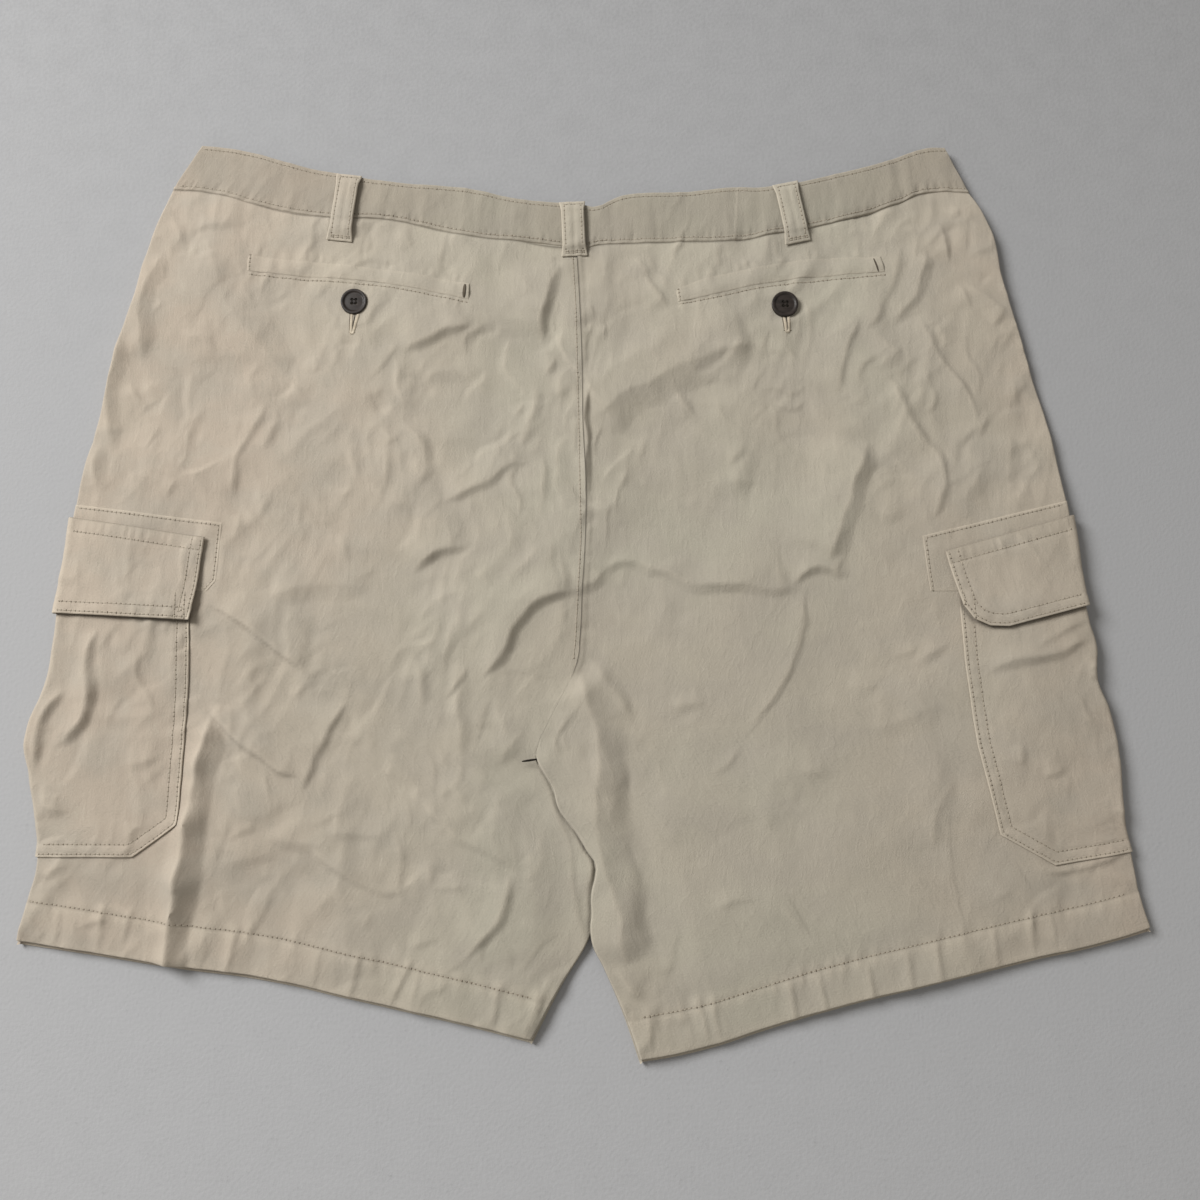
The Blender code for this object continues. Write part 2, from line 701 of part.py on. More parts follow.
def band_layer(shares, drops, front):
    """Outer face of a stretch of the waistband; drops say how far each place is folded down round a side."""
    seam_x, seam_y, top_x, top_y = band_point(shares)
    seam, top = np.stack([seam_x, seam_y], -1), np.stack([top_x, top_y], -1)
    if front:
        top[:, 1] -= front_dip(seam_x)
        seam[:, 1] -= front_dip(seam_x)
    seam = seam + BAND_GAP * (top - seam) / np.linalg.norm(top - seam, axis=1)[:, None]
    half_gap = 0.5 * SEAM_GAP * (drops > AT_SEAM)
    grid = []
    for height_share in (1.0, 0.5, 0.0):
        xy = seam * (1.0 - height_share) + top * height_share
        floor = floor_lift(LEGS["left"], *xy.T)
        upper = top_height(LEGS["left"], *xy.T, 0.0) + BAND_PROUD
        upper = np.maximum(upper, floor + 2.0 * BAND_WALL + GAP)
        half = (upper - floor) / 2.0
        height = floor + half * drops - half_gap if front else upper - half * drops + half_gap
        grid.append(np.column_stack([xy, height]))
    return np.array(grid)


def band_shares(columns):
    """Shares of the band's length that stand over the columns of the panels below it."""
    shares = []
    for name in ("left", "right"):
        leg = LEGS[name]
        width = math.hypot(leg.side[0].x - leg.inner[0].x, leg.side[0].y - leg.inner[0].y)
        across = places_across(width, columns)[len(QUARTER_ROUND) - 1 :]
        shares.append(CENTRE_SHARE + across * ((leg.sign + 1) / 2.0 - CENTRE_SHARE))
    return np.concatenate([shares[0][::-1], [CENTRE_SHARE], shares[1]])


def band_drops(shares):
    """How far the band is folded down at each place, round the left or the right side."""
    drops = np.zeros(len(shares))
    round_drops = [drop for _, drop in QUARTER_ROUND]
    if shares[0] == 0.0:
        drops[: len(round_drops)] = round_drops[::-1]
    if shares[-1] == 1.0:
        drops[-len(round_drops) :] = round_drops
    return drops


def make_waistband():
    """The back band from side to side, and the two halves of the front one."""
    back, front = band_shares(BACK_COLUMNS), band_shares(FRONT_COLUMNS)
    left = np.append(front[front < FRONT_SPLIT - CLEAR_OF_SPLIT], FRONT_SPLIT - SPLIT_GAP / 2.0)
    right = np.insert(front[front > FRONT_SPLIT + CLEAR_OF_SPLIT], 0, FRONT_SPLIT + SPLIT_GAP / 2.0)
    runs = (
        ("waistband_back", back, False),
        ("waistband_front_left", left, True),
        ("waistband_front_right", right, True),
    )
    for name, shares, in_front in runs:
        grid = band_layer(shares, band_drops(shares), in_front)
        thicken(piece(name, sheet_of(grid, flip=not in_front), TWILL_FINISH), BAND_WALL)
    return band_layer(back, 0.0 * back, False)


def height_over(carriers, x, y):
    """Height in mm of the highest carrier at a place, or of the nearest one beside it."""
    start = Vector((x * MM, y * MM, 1.0))
    hits = [carrier.ray_cast(start, Vector((0.0, 0.0, -1.0)))[0] for carrier in carriers]
    hits = [hit for hit in hits if hit is not None]
    if not hits:
        level = Vector((x * MM, y * MM, LOFT * MM))
        nearest = min((carrier.find_nearest(level) for carrier in carriers), key=lambda found: found[-1])
        hits = [nearest[0]]
    return max(hit.z for hit in hits) / MM


def settled(grid, carriers):
    """Raises a grid of points until its facets clear everything under them."""
    steps = np.linspace(0.0, 1.0, SETTLE_STEPS)
    for i, j in np.ndindex(grid.shape[:2]):
        grid[i, j, 2] = height_over(carriers, *grid[i, j, :2]) + SETTLE_GAP
    for _ in range(SETTLE_PASSES):
        for i, j in np.ndindex(grid.shape[0] - 1, grid.shape[1] - 1):
            cell = grid[i : i + 2, j : j + 2]
            for a, b in ((a, b) for a in steps for b in steps):
                weights = np.outer([1.0 - a, a], [1.0 - b, b])
                place = (cell * weights[..., None]).sum(axis=(0, 1))
                short = height_over(carriers, *place[:2]) + SETTLE_GAP - place[2]
                cell[..., 2] += max(0.0, short) * weights / (weights**2).sum()
    return grid


def make_strip(name, stations, carriers, cells_across, wall):
    """A sewn-on strip between two long edges, settled on what carries it."""
    share = np.linspace(1.0, 0.0, cells_across + 1)[:, None, None]
    near = np.array([(station.near_x, station.near_y) for station in stations])
    far = np.array([(station.far_x, station.far_y) for station in stations])
    flat = near * (1.0 - share) + far * share
    grid = np.concatenate([flat, np.zeros(flat.shape[:2] + (1,))], axis=2)
    sheet = sheet_of(settled(grid, carriers), flip=True)
    thicken(piece(name, sheet, TWILL_FINISH), wall, outwards=True)


def make_back_loop(name, axis, carriers):
    """A belt loop pressed flat on the band, its lower end on the panel."""
    start, end = np.array([axis.near_x, axis.near_y]), np.array([axis.far_x, axis.far_y])
    run = end - start
    sideways = np.array([run[1], -run[0]]) / np.linalg.norm(run) * LOOP_WIDTH / 2.0
    stations = []
    for share in LOOP_STATIONS:
        middle = start + run * share
        stations.append(Strip(*(middle + sideways), *(middle - sideways)))
    make_strip(name, stations, carriers, 2, LOOP_WALL)


def make_front_loop(name, x):
    """A belt loop under the front band, flat on the surface."""
    seam = along_x([Point(row.seam_x, row.seam_y) for row in WAISTBAND], x) - float(front_dip(x))
    rows = np.linspace(seam + FRONT_LOOP_ABOVE, seam - FRONT_LOOP_BELOW, FRONT_LOOP_ROWS)
    across = np.linspace(x - LOOP_WIDTH / 2.0, x + LOOP_WIDTH / 2.0, 3)
    grid = np.array([[(place, y, 0.0) for place in across] for y in rows])
    thicken(piece(name, sheet_of(grid, flip=False), TWILL_FINISH), LOOP_WALL)


def make_button(name, place, base, depth, face_down=False):
    """A four-hole button with a raised rim, turned about its axis."""
    turned = bmesh.new()
    rim = BUTTON_RADIUS * MM
    line = [turned.verts.new((p.radius * rim, 0.0, p.height * depth * MM)) for p in BUTTON_PROFILE]
    edges = [turned.edges.new(pair) for pair in zip(line, line[1:])]
    middle, up = (0.0, 0.0, 0.0), (0.0, 0.0, 1.0)
    bmesh.ops.spin(turned, geom=[*line, *edges], cent=middle, axis=up, angle=math.tau, steps=BUTTON_SIDES)
    bmesh.ops.remove_doubles(turned, verts=turned.verts, dist=MERGE)
    bmesh.ops.recalc_face_normals(turned, faces=turned.faces)
    made = piece(name, turned, BUTTON_FINISH)
    made.data.set_sharp_from_angle(angle=BUTTON_CREASE)
    made.location = Vector((place.x, place.y, base)) * MM
    if face_down:
        made.rotation_euler.x = math.pi
    holes = bmesh.new()
    for hole in range(BUTTON_HOLES):
        angle = math.tau * (hole + 0.5) / BUTTON_HOLES
        middle = Vector((math.cos(angle), math.sin(angle), 0.0)) * (BUTTON_HOLE_SPACING / math.sqrt(2.0))
        drill = bmesh.ops.create_cone(
            holes,
            cap_ends=True,
            segments=DRILL_SIDES,
            radius1=BUTTON_HOLE_RADIUS * MM,
            radius2=BUTTON_HOLE_RADIUS * MM,
            depth=4.0 * depth * MM,
        )
        bmesh.ops.translate(holes, verts=drill["verts"], vec=middle * MM)
    mesh = bpy.data.meshes.new(f"{name} holes")
    holes.to_mesh(mesh)
    holes.free()
    cutter = bpy.data.objects.new(f"{name} holes", mesh)
    bpy.context.scene.collection.objects.link(cutter)
    cutter.parent = made
    cutter.hide_render = True
    cutter.display_type = "WIRE"
    drilled = made.modifiers.new("Holes", "BOOLEAN")
    drilled.operation = "DIFFERENCE"
    drilled.object = cutter


def button_base(place, carriers):
    """Height of the underside of a button that lies on the cloth with its whole rim."""
    heights = [height_over(carriers, *place)]
    for turn in np.linspace(0.0, math.tau, BUTTON_SIDES):
        x = place.x + BUTTON_RADIUS * math.cos(turn)
        y = place.y + BUTTON_RADIUS * math.sin(turn)
        heights.append(height_over(carriers, x, y))
    return max(heights) + SETTLE_GAP


def tree_of(*grids):
    """Search trees over grids of points, for finding heights."""
    trees = []
    for grid in grids:
        sheet = sheet_of(grid, flip=False)
        trees.append(BVHTree.FromBMesh(sheet))
        sheet.free()
    return trees


def main():
    for old in list(bpy.data.objects):
        bpy.data.objects.remove(old)
    origin = bpy.data.objects.new("origin", None)
    origin.location = Vector((-MIDDLE.x, -MIDDLE.y, 0.0)) * MM
    bpy.context.scene.collection.objects.link(origin)
    backs = {}
    for name, leg in LEGS.items():
        back, front = make_panel(leg, front=False), make_panel(leg, front=True)
        make_cargo_pocket(leg, back, front)
        backs[name] = back
    band = make_waistband()
    carriers = tree_of(backs["left"], backs["right"], band)
    make_strip("back_welt_left", WELT_LEFT, carriers, 1, WELT_WALL)
    make_strip("back_welt_right", WELT_RIGHT, carriers, 1, WELT_WALL)
    for name, axis in LOOPS_BACK.items():
        make_back_loop(f"belt_loop_back_{name}", axis, carriers)
    for name, x in FRONT_LOOPS.items():
        make_front_loop(f"belt_loop_front_{name}", x)
    for name, place in BACK_BUTTONS.items():
        make_button(f"back_button_{name}", place, button_base(place, carriers), BUTTON_DEPTH)
    make_button("front_button", FRONT_BUTTON, FRONT_BUTTON_DEPTH, FRONT_BUTTON_DEPTH, face_down=True)


main()
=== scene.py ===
"""Looks of the cargo shorts: creased twill, seams, thread, buttons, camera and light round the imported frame.

The tables and the height functions work in millimetres, in the same plane as the tables of the solids:
X across the waist towards the wearer's right, Y towards the waistband, Z up. MIDDLE is where the frame's
origin lies in that plane, and points become metres when a mesh is made. The shorts lie with the back
uppermost, so each leg has a back layer above, a front layer on the surface, and a fold along its outseam.
"""

import math
from collections import namedtuple

import bpy
import numpy as np
from bpy.props import FloatProperty, FloatVectorProperty, PointerProperty
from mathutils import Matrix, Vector
from mathutils.bvhtree import BVHTree


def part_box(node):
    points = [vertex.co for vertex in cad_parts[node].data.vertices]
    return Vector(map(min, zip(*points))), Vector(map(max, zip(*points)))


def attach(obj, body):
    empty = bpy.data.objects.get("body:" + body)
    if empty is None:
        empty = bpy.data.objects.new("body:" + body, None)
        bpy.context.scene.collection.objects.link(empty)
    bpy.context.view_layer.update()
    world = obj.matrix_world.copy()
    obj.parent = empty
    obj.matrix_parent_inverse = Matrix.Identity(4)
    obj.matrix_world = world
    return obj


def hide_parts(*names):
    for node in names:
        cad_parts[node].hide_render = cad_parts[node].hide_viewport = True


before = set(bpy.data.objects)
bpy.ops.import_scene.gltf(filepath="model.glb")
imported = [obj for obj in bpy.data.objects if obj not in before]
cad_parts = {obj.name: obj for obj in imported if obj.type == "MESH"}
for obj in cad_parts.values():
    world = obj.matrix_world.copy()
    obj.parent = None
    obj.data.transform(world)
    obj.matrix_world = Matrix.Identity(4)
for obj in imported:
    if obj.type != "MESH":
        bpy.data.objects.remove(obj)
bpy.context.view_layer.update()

bl_info = {
    "name": "Cargo shorts, laid flat",
    "version": (1, 0, 0),
    "blender": (4, 5, 0),
    "location": "3D View > Sidebar > Shorts",
    "description": "Dresses the packed cargo shorts in creased twill, thread and buttons",
    "category": "Object",
}

BODY = "root"
MM = 0.001  # metres


def table(kind, *rows):
    """Rows of values as named tuples of one kind."""
    return tuple(kind(*row) for row in rows)


Point = namedtuple("Point", "x y")
MIDDLE = Point(1.0, -1.75)  # the frame's origin in the tables' plane

# How the layers lie, mm
LOFT = 6.3  # top of the back layer above the surface
THREAD_ROOM = 0.3  # between the surface and the front layer, for the thread under it
SIDE_FOLD = 1.9  # plan width of the rounded fold at a side
INSEAM_FOLD = 1.5
SQUASHED = 3.8  # height of the left leg where the right one lies on it
CROSSING_LIFT = 4.2
SQUASHED_REACH, LIFTED_REACH = 13.0, 11.5
CROSSING_STARTS = (-112.0, -130.0)  # Y: from the crotch down
FRONT_DIP = 14.0  # the front waistline lies this much lower at the centre
HEM_PEEK = 2.5  # the front layer's hem shows below the back one
HEM_PEEKS = (0.9, 1.0)
HEM_STITCHING = 25.5  # above the hem's edge
UNDER_PIECE, PAST_PIECE = 36.0, 56.0
CLOSED_TO, OPEN_FROM = -118.5, -124.0  # Y: above the first the panels join at the centre seam
SEAM_SHOWS, SEAM_FADES = -60.0, -72.0  # Y: below the first the centre seam sinks into the folds at the crotch
INNER_GAP = 0.4  # least room between the layers of a leg
SETTLING = 0.9  # how gently the back layer comes to rest on the front one
CARRIED = 0.4  # share of what lies under the front layer that the back one rises by
POCKET_STACK = 1.7  # what each piece under the front layer lifts it by
FLAP_STACK = 1.7
LOOP_STACK = 1.6
BUTTON_STACK = 2.5
SEAM_GAP = 0.1  # between panels at a seam

# Cloth, mm
WALL = 0.9
HEM_WALL = 1.8
BAND_WALL = 1.5
BAND_PROUD = 0.65  # the waistband stands this far above the panels
POCKET_OUT = 1.4  # outer face of each piece above the cloth that carries it
FACING_OUT = 0.75
FLAP_OUT = 3.1
FLAP_FLARE = 2.6  # the flap's free edge stands off the pocket this much more
FLAP_STANDS_OFF = (6.0, -30.0)

Band = namedtuple("Band", "seam_x seam_y top_x top_y")
WAISTBAND = table(
    Band,
    (-286, 272, -267, 304.5), (-254, 268, -236, 300), (-223, 259, -206, 291.5), (-176, 250.5, -172, 283.5),
    (-130, 248, -128, 276), (-84, 237.5, -82, 272), (-43, 233, -42, 263.5), (-4, 228.5, -5, 260.5),
    (12, 230, 12, 258.5), (29, 230.5, 31, 267), (70, 232.5, 70, 269), (104, 233.5, 104, 272.5),
    (136, 239, 134, 273.5), (176, 247, 172, 281.5), (219, 260.5, 212, 292), (240, 268.5, 236, 301),
    (270, 268.5, 254, 302.5),
)
CENTRE = 7  # row of WAISTBAND at the centre seam
CENTRE_SHARE = CENTRE / (len(WAISTBAND) - 1)

CENTRE_SEAM = table(
    Point,
    (-4, 228.5), (-1.5, 186), (0.7, 106), (2.5, 23), (0.6, -11), (-1.0, -44), (-2.2, -56), (-4.3, -63),
    (-7.2, -70), (-13.8, -83), (-22.8, -101), (-27.6, -112), (-28.6, -118),
)
INSEAM_LEFT = table(
    Point,
    (-22, -129), (-10, -140), (8, -165), (16, -190), (14, -212), (6.4, -232), (-11, -260), (-30, -294),
)
INSEAM_RIGHT = table(
    Point,
    (-28, -122), (-24.8, -128), (-18.3, -139), (-13.1, -154.3), (-4.1, -165.6), (3.6, -178), (9.3, -187),
    (9.3, -192), (6.8, -204), (6.8, -218), (6.3, -229), (14.6, -250), (28, -280), (37.4, -305.5),
)
SIDE_LEFT = table(
    Point,
    (-286, 272), (-301, 226), (-308, 190), (-318, 154), (-323.5, 119), (-330, 84), (-336, 50), (-339, 16),
    (-341.5, -17), (-343.5, -50), (-348.5, -80), (-356, -102), (-353.5, -130), (-347, -162), (-345.5, -182),
    (-350, -208), (-355.5, -234),
)
SIDE_RIGHT = table(
    Point,
    (270, 268.5), (282, 245), (289, 208), (298, 172), (306, 136), (315, 101), (320, 67), (325, 33),
    (328, 0), (331.5, -33), (335.5, -50), (334, -64), (341.5, -90), (346, -120), (347, -162), (351, -182),
    (355, -208), (360, -226),
)
HEM_LEFT = table(
    Point,
    (-30, -294), (-54, -288), (-100, -277.5), (-153, -266), (-195, -257), (-248, -250), (-314, -240),
    (-355.5, -234),
)
HEM_RIGHT = table(
    Point,
    (37.4, -305.5), (74.5, -298.7), (113, -287.3), (161, -273.6), (209, -262.3), (286.6, -244.2),
    (345, -230.6), (360, -226),
)
# middle of the strip where the right leg lies on the left one
CROSSING = table(
    Point,
    (-34, -114), (-14, -139), (2, -165), (12, -190), (10, -212), (6.5, -236),
)

# Creases of the back layer, each along its shaded line, running up or to the right. The crest lies just to
# the left of the line; left and right are the widths of its two flanks.
Crease = namedtuple("Crease", "height left right path")
CREASES = table(
    Crease,
    # left half, waist to crotch
    (1.6, 10, 4, ((-269, 226), (-284, 256))),
    (2.3, 10, 8, ((-292, 146), (-296, 170), (-298, 189), (-292, 206), (-283, 226))),
    (2.4, 8, 7, ((-307, 84), (-315.5, 108), (-316, 128), (-312.5, 148), (-307, 170))),
    (2.4, 8, 7, ((-315, 52), (-321, 72), (-317, 92))),
    (1.5, 8, 4, ((-289, 112), (-297.7, 122.4), (-304, 135))),
    (1.2, 8, 4, ((-240, 144), (-250, 158), (-276, 172))),
    (1.8, 14, 12, ((-176, 116), (-192, 136), (-216, 166), (-236, 190), (-251, 234), (-258, 246))),
    (-1.3, 9, 11, ((-178, 138), (-210, 188))),
    (1.0, 6, 3, ((-179, 137), (-181, 154))),
    (0.8, 5, 3, ((-168, 151), (-165, 160))),
    (3.0, 18, 4.5, ((-123, 150), (-97, 163), (-71, 171))),
    (1.4, 6, 6, ((-109, 126), (-96, 135), (-79, 129))),
    (-1.5, 5, 8, ((-129, 108), (-138, 129))),
    (2.0, 14, 5, ((-107, 53), (-101, 77), (-121, 108))),
    (2.4, 16, 4, ((-94, 45), (-68, 58), (-59, 62), (-51, 70), (-34, 72))),
    (3.4, 22, 4.5, ((-113, -1), (-100, 8), (-69, 19))),
    (1.8, 18, 8, ((-207, -21), (-162, -13), (-139, -17))),
    (2.3, 12, 4, ((-243, -23), (-215, -39), (-196, -54), (-176, -67))),
    (3.6, 22, 4.5, ((-64, -72), (-49, -54), (-40, -34), (-24, -19), (1, -13))),
    (3.8, 24, 5, ((-25, 158), (-23, 183), (-13, 215))),
    (1.6, 16, 10, ((-56, 204), (-44, 232))),
    (1.4, 7, 4, ((-23, 135), (-15, 151))),
    (1.2, 7, 3, ((-45, 105), (-35, 119))),
    (1.6, 7, 5, ((-41, 81), (-30, 108), (-26, 133))),
    (1.2, 8, 4, ((-22, 43), (-24, 84))),
    (1.8, 12, 5, ((-219, 77), (-209, 91), (-200, 122))),
    (1.2, 8, 4, ((-237, 84), (-233, 91), (-227, 115))),
    (2.2, 10, 4, ((-227.7, 48), (-229.5, 66), (-224, 89), (-215, 105), (-207, 122))),
    (1.4, 8, 4, ((-226, 26), (-225, 43))),
    (1.8, 8, 7, ((-268, 63), (-262, 77), (-257, 105))),
    (1.2, 7, 4, ((-274, 50), (-268, 63))),
    (1.0, 7, 4, ((-299, 133), (-288, 115))),
    (1.0, 8, 4, ((-271, 168), (-249, 154))),
    (0.9, 6, 4, ((-313, 161), (-303, 147))),
    (1.3, 30, 34, ((-206, 60), (-200, 180))),
    (1.2, 9, 5, ((-149, 3), (-160, 33))),
    (1.2, 7, 5, ((-105, -37), (-93, -21), (-76, -14))),
    (1.1, 8, 4, ((-73, 3), (-60, -14))),
    # left leg
    (2.9, 12, 4.5, ((-339, -118), (-325, -105), (-316.6, -90), (-317, -56), (-310.7, -35))),
    (2.4, 8, 4, ((-347.4, -131), (-345.6, -105), (-341, -90), (-327, -73))),
    (0.9, 8, 5, ((-307, -50), (-291, -54))),
    (1.8, 9, 5, ((-347, -134), (-342, -153), (-323, -156))),
    (1.4, 13, 6, ((-296, -128), (-261, -121))),
    (1.8, 9, 5, ((-344, -197), (-320, -189))),
    (7.4, 7, 10.5, (
        (-250.9, -260.5), (-252.2, -236.4), (-251.1, -223), (-248.7, -208.9), (-246.1, -187.4),
        (-243.6, -159), (-239.5, -130), (-235, -108), (-231.5, -92),
    )),
    (1.3, 9, 5, ((-169, -80), (-183, -50))),
    (2.4, 12, 4, ((-245, -86), (-225, -107), (-204, -122), (-187, -131.7), (-176, -132))),
    (2.0, 14, 3, ((-177, -146), (-173.6, -131), (-163, -107), (-148, -81))),
    (-1.4, 9, 9, ((-179, -166), (-188, -144))),
    (1.8, 14, 5, ((-204, -174), (-175, -177), (-153, -184))),
    (1.2, 9, 4, ((-175, -169), (-124, -172))),
    (1.8, 12, 4, ((-179, -175), (-156, -191), (-134, -203.5), (-104, -207))),
    (2.4, 12, 4, ((-88, -86), (-72, -62))),
    (2.0, 8, 7, ((-71, -121), (-75, -96), (-72, -64))),
    (1.7, 12, 5, ((-98, -93), (-101, -70), (-105, -50))),
    (1.3, 9, 5, ((-60, -89), (-45, -115))),
    (1.6, 8, 6, ((-52, -128), (-33, -102))),
    (1.7, 12, 4, ((-109, -147), (-93, -159), (-80, -172), (-51, -184), (-41, -197))),
    (2.8, 16, 4.5, ((-72, -248), (-61, -236), (-50, -224), (-44, -209), (-41, -190))),
    (1.2, 9, 5, ((-90, -134), (-74, -153))),
    (1.0, 8, 4, ((-92, -203), (-95, -181))),
    (1.1, 8, 4, ((-138, -230), (-126, -215))),
    (1.1, 9, 5, ((-228, -190), (-216, -187), (-191, -184))),
    (1.4, 34, 30, ((-128, -262), (-130, -190))),
    # right half, waist to crotch
    (2.4, 14, 4, ((64, 181), (50, 201), (43, 210))),
    (4.4, 32, 15, ((8, 98), (25, 107), (33, 116), (45, 120), (65, 131), (89, 141), (121, 151))),
    (1.5, 8, 5, ((70, 128), (86, 146), (112, 158))),
    (1.6, 10, 4, ((82, 108), (70, 119), (68, 133))),
    (1.3, 7, 3, ((11, 176), (6, 190))),
    (2.0, 5, 3, ((4.5, 46), (5.5, 91), (5, 116), (9, 130), (7, 147))),
    (1.4, 5, 3, ((2, 146), (5, 160), (7.4, 169), (10, 179))),
    (1.4, 7, 3, ((16, 158), (18, 176))),
    (1.3, 9, 4, ((49, 208), (37, 223))),
    (1.5, 12, 5, ((196, 164), (206, 182), (219, 212), (223, 234))),
    (1.9, 10, 5, ((212, 168), (226, 186), (236, 205), (240, 232))),
    (2.0, 9, 4, ((255, 215), (250, 248))),
    (1.0, 6, 3, ((260, 247), (262, 259))),
    (1.4, 12, 3.5, ((176, 119), (183, 158), (195, 179))),
    (1.3, 14, 6, ((202, 138), (223, 154))),
    (1.4, 12, 3.5, ((270, 98), (266, 115), (250, 144), (245, 151), (233, 185))),
    (2.0, 13, 4, ((232, 33), (241, 50), (245, 67), (228, 98), (212, 137))),
    (1.2, 9, 4, ((209, 98), (207, 126))),
    (1.2, 10, 6, ((232, 108), (236, 133))),
    (1.1, 12, 7, ((252, 43), (264, 57), (274, 88))),
    (1.4, 12, 7, ((289, 57), (293, 98))),
    (1.3, 9, 4, ((282, 168), (293, 186))),
    (1.2, 9, 4, ((269, 183), (260, 204))),
    (4.2, 24, 8.5, ((166, 2), (174, 23), (182.6, 49), (192.7, 75.6), (199, 90))),
    (2.5, 16, 5, (
        (-12, -16), (6.6, -9), (27, 5), (52, -1), (80, -10.6), (109, -9.3), (129, -14), (145, -11),
    )),
    (2.4, 10, 3.5, ((138, -12), (150, -1), (160.5, 3), (170.6, -2.3), (181, -3))),
    (1.0, 9, 3, ((108, -106), (130, -76.7), (142.6, -52), (148, -9))),
    (0.8, 5, 3, ((82, -137), (108, -112))),
    (1.1, 10, 6, ((192, 40), (215, 34))),
    (1.2, 9, 4, ((99, 70), (113, 91))),
    # right leg
    (2.2, 10, 5, ((38, -99), (22, -73), (6, -54))),
    (1.6, 9, 4, ((-17, -112), (9, -76))),
    (4.6, 13, 16, (
        (38, -250), (35, -226), (32, -206), (23, -182), (20, -160), (21, -120), (16, -88), (8, -60),
    )),
    (1.7, 9, 4, ((10, -255), (-0.7, -209), (-3, -190), (-7, -169), (-11, -157), (-17, -141), (-26, -121))),
    (-1.4, 8, 16, ((62, -250), (56, -231), (48, -197), (44, -166), (42, -137), (34, -99))),
    (-1.6, 9, 10, ((24, -160), (14, -128), (6, -104))),
    (1.3, 4, 3, ((-5.6, -119), (-8, -108), (-10.8, -98))),
    (1.1, 4, 3, ((-11, -121), (-14, -110), (-15.9, -101))),
    (1.2, 6, 3, ((1, -112), (3, -96), (-1, -80))),
    (1.6, 8, 3.5, ((16, -224), (31, -227), (38, -245))),
    (2.0, 9, 5, ((16, -254), (41, -272))),
    (1.2, 10, 5, ((55, -89), (84, -89))),
    (1.1, 10, 7, ((171, -80), (197, -78))),
    (1.8, 20, 12, ((183, -109), (213, -102), (239, -89))),
    (1.4, 12, 5, ((134, -133), (167, -133))),
    (1.0, 8, 4, ((128, -147), (144, -144))),
    (1.6, 12, 5, ((79, -218), (101, -212), (117, -212))),
    (1.2, 5, 6, ((148, -233), (126, -203))),
    (2.0, 24, 7, ((228, -184), (236, -147), (247, -134))),
    (1.5, 10, 5, ((258, -215), (278, -203))),
    (1.2, 9, 5, ((214, -64), (244, -47))),
    (1.2, 9, 5, ((201, -60), (225, -50))),
    (2.4, 10, 4.5, ((264, -69), (275, -63), (290, -58), (305, -57), (318, -50), (335, -46))),
    (1.8, 7, 4, ((294, -54.5), (306, -46), (321, -37), (334, -32))),
    (1.4, 6, 3, ((331, -74), (338, -59))),
    (1.0, 8, 4, ((284, -128), (283, -109))),
    (1.0, 8, 4, ((295, -134), (314, -128))),
    (1.5, 5, 4, ((328, -67), (338, -64))),
    (1.8, 6, 3, ((281, -191), (302, -193), (322, -189.6), (349, -181))),
    (1.4, 4, 2.5, ((337, -155), (346, -156.7), (349, -165))),
    (1.6, 44, 50, ((110, -190), (250, -170))),
    (1.8, 60, 60, ((70, -292), (320, -236))),
)
# Short tucks that the hems' stitching pulls up, by their upper end; each runs down to the edge
Tuck = namedtuple("Tuck", "x y lean height")
TUCKS = table(
    Tuck,
    (-328, -215, -2, 0.5), (-319, -212, 1, 0.5), (-301, -215, -1, 0.6), (-283, -216, -5, 0.6),
    (-217, -230, -4, 0.8), (-163, -239, -4, 0.5), (-139, -245, -4, 0.8), (-108, -250, -9, 0.8),
    (-100, -251, -5, 0.5), (-51, -263, -3, 0.8), (-23, -266, -6, 0.6), (42, -277, 2, 0.6),
    (75, -272, 4, 0.7), (83, -271, 3, 0.5), (131, -260, 3, 0.8), (150, -257, 3, 0.6), (180, -250, 3, 0.7),
    (205, -242, 2, 0.6), (223, -236, 2, 0.7), (259, -226, 2, 0.6), (283, -220, 2, 0.6), (296, -216, 2, 0.5),
)
TUCK_LENGTH = 19.0
TUCK_FLANKS = (4.5, 1.8)
TUCK_RISE = 1.45
TUCK_REACH = 20.0  # how far to each side a tuck is felt
TUCK_STARTS, TUCK_ENDS = (-0.35, 0.1), (1.5, 0.7)  # shares of a tuck's length

# The welts, from their left end to their right one: a place on the lower edge and the one above it
Strip = namedtuple("Strip", "near_x near_y far_x far_y")
WELTS = {
    "left": table(
        Strip,
        (-230, 211.1, -230, 223.2), (-194.4, 207.6, -194, 219.2), (-158.8, 204.4, -157, 215.5),
        (-127, 200.3, -126, 211.2), (-107.3, 196.5, -106, 207.8), (-77.2, 189.9, -76.9, 201.3),
    ),
    "right": table(
        Strip,
        (65.9, 188.2, 64.5, 197.8), (90, 193.3, 86, 206), (111.2, 198.8, 109, 211.5),
        (132.3, 203.2, 130.5, 216.2), (170, 207.9, 168, 221.3), (208.3, 209.9, 205.6, 221.1),
    ),
}

FLAP_IMPRINT = Point(-286.5, -2.7)  # a fastener under the left flap shows through as a faint ring
IMPRINT_RADIUS = 11.0


# Shapes in the plane

def smooth(low, high, value):
    """0 at low, 1 at high, with an even ease between; low may be the larger."""
    share = np.clip((value - low) / (high - low), 0.0, 1.0)
    return share * share * (3.0 - 2.0 * share)


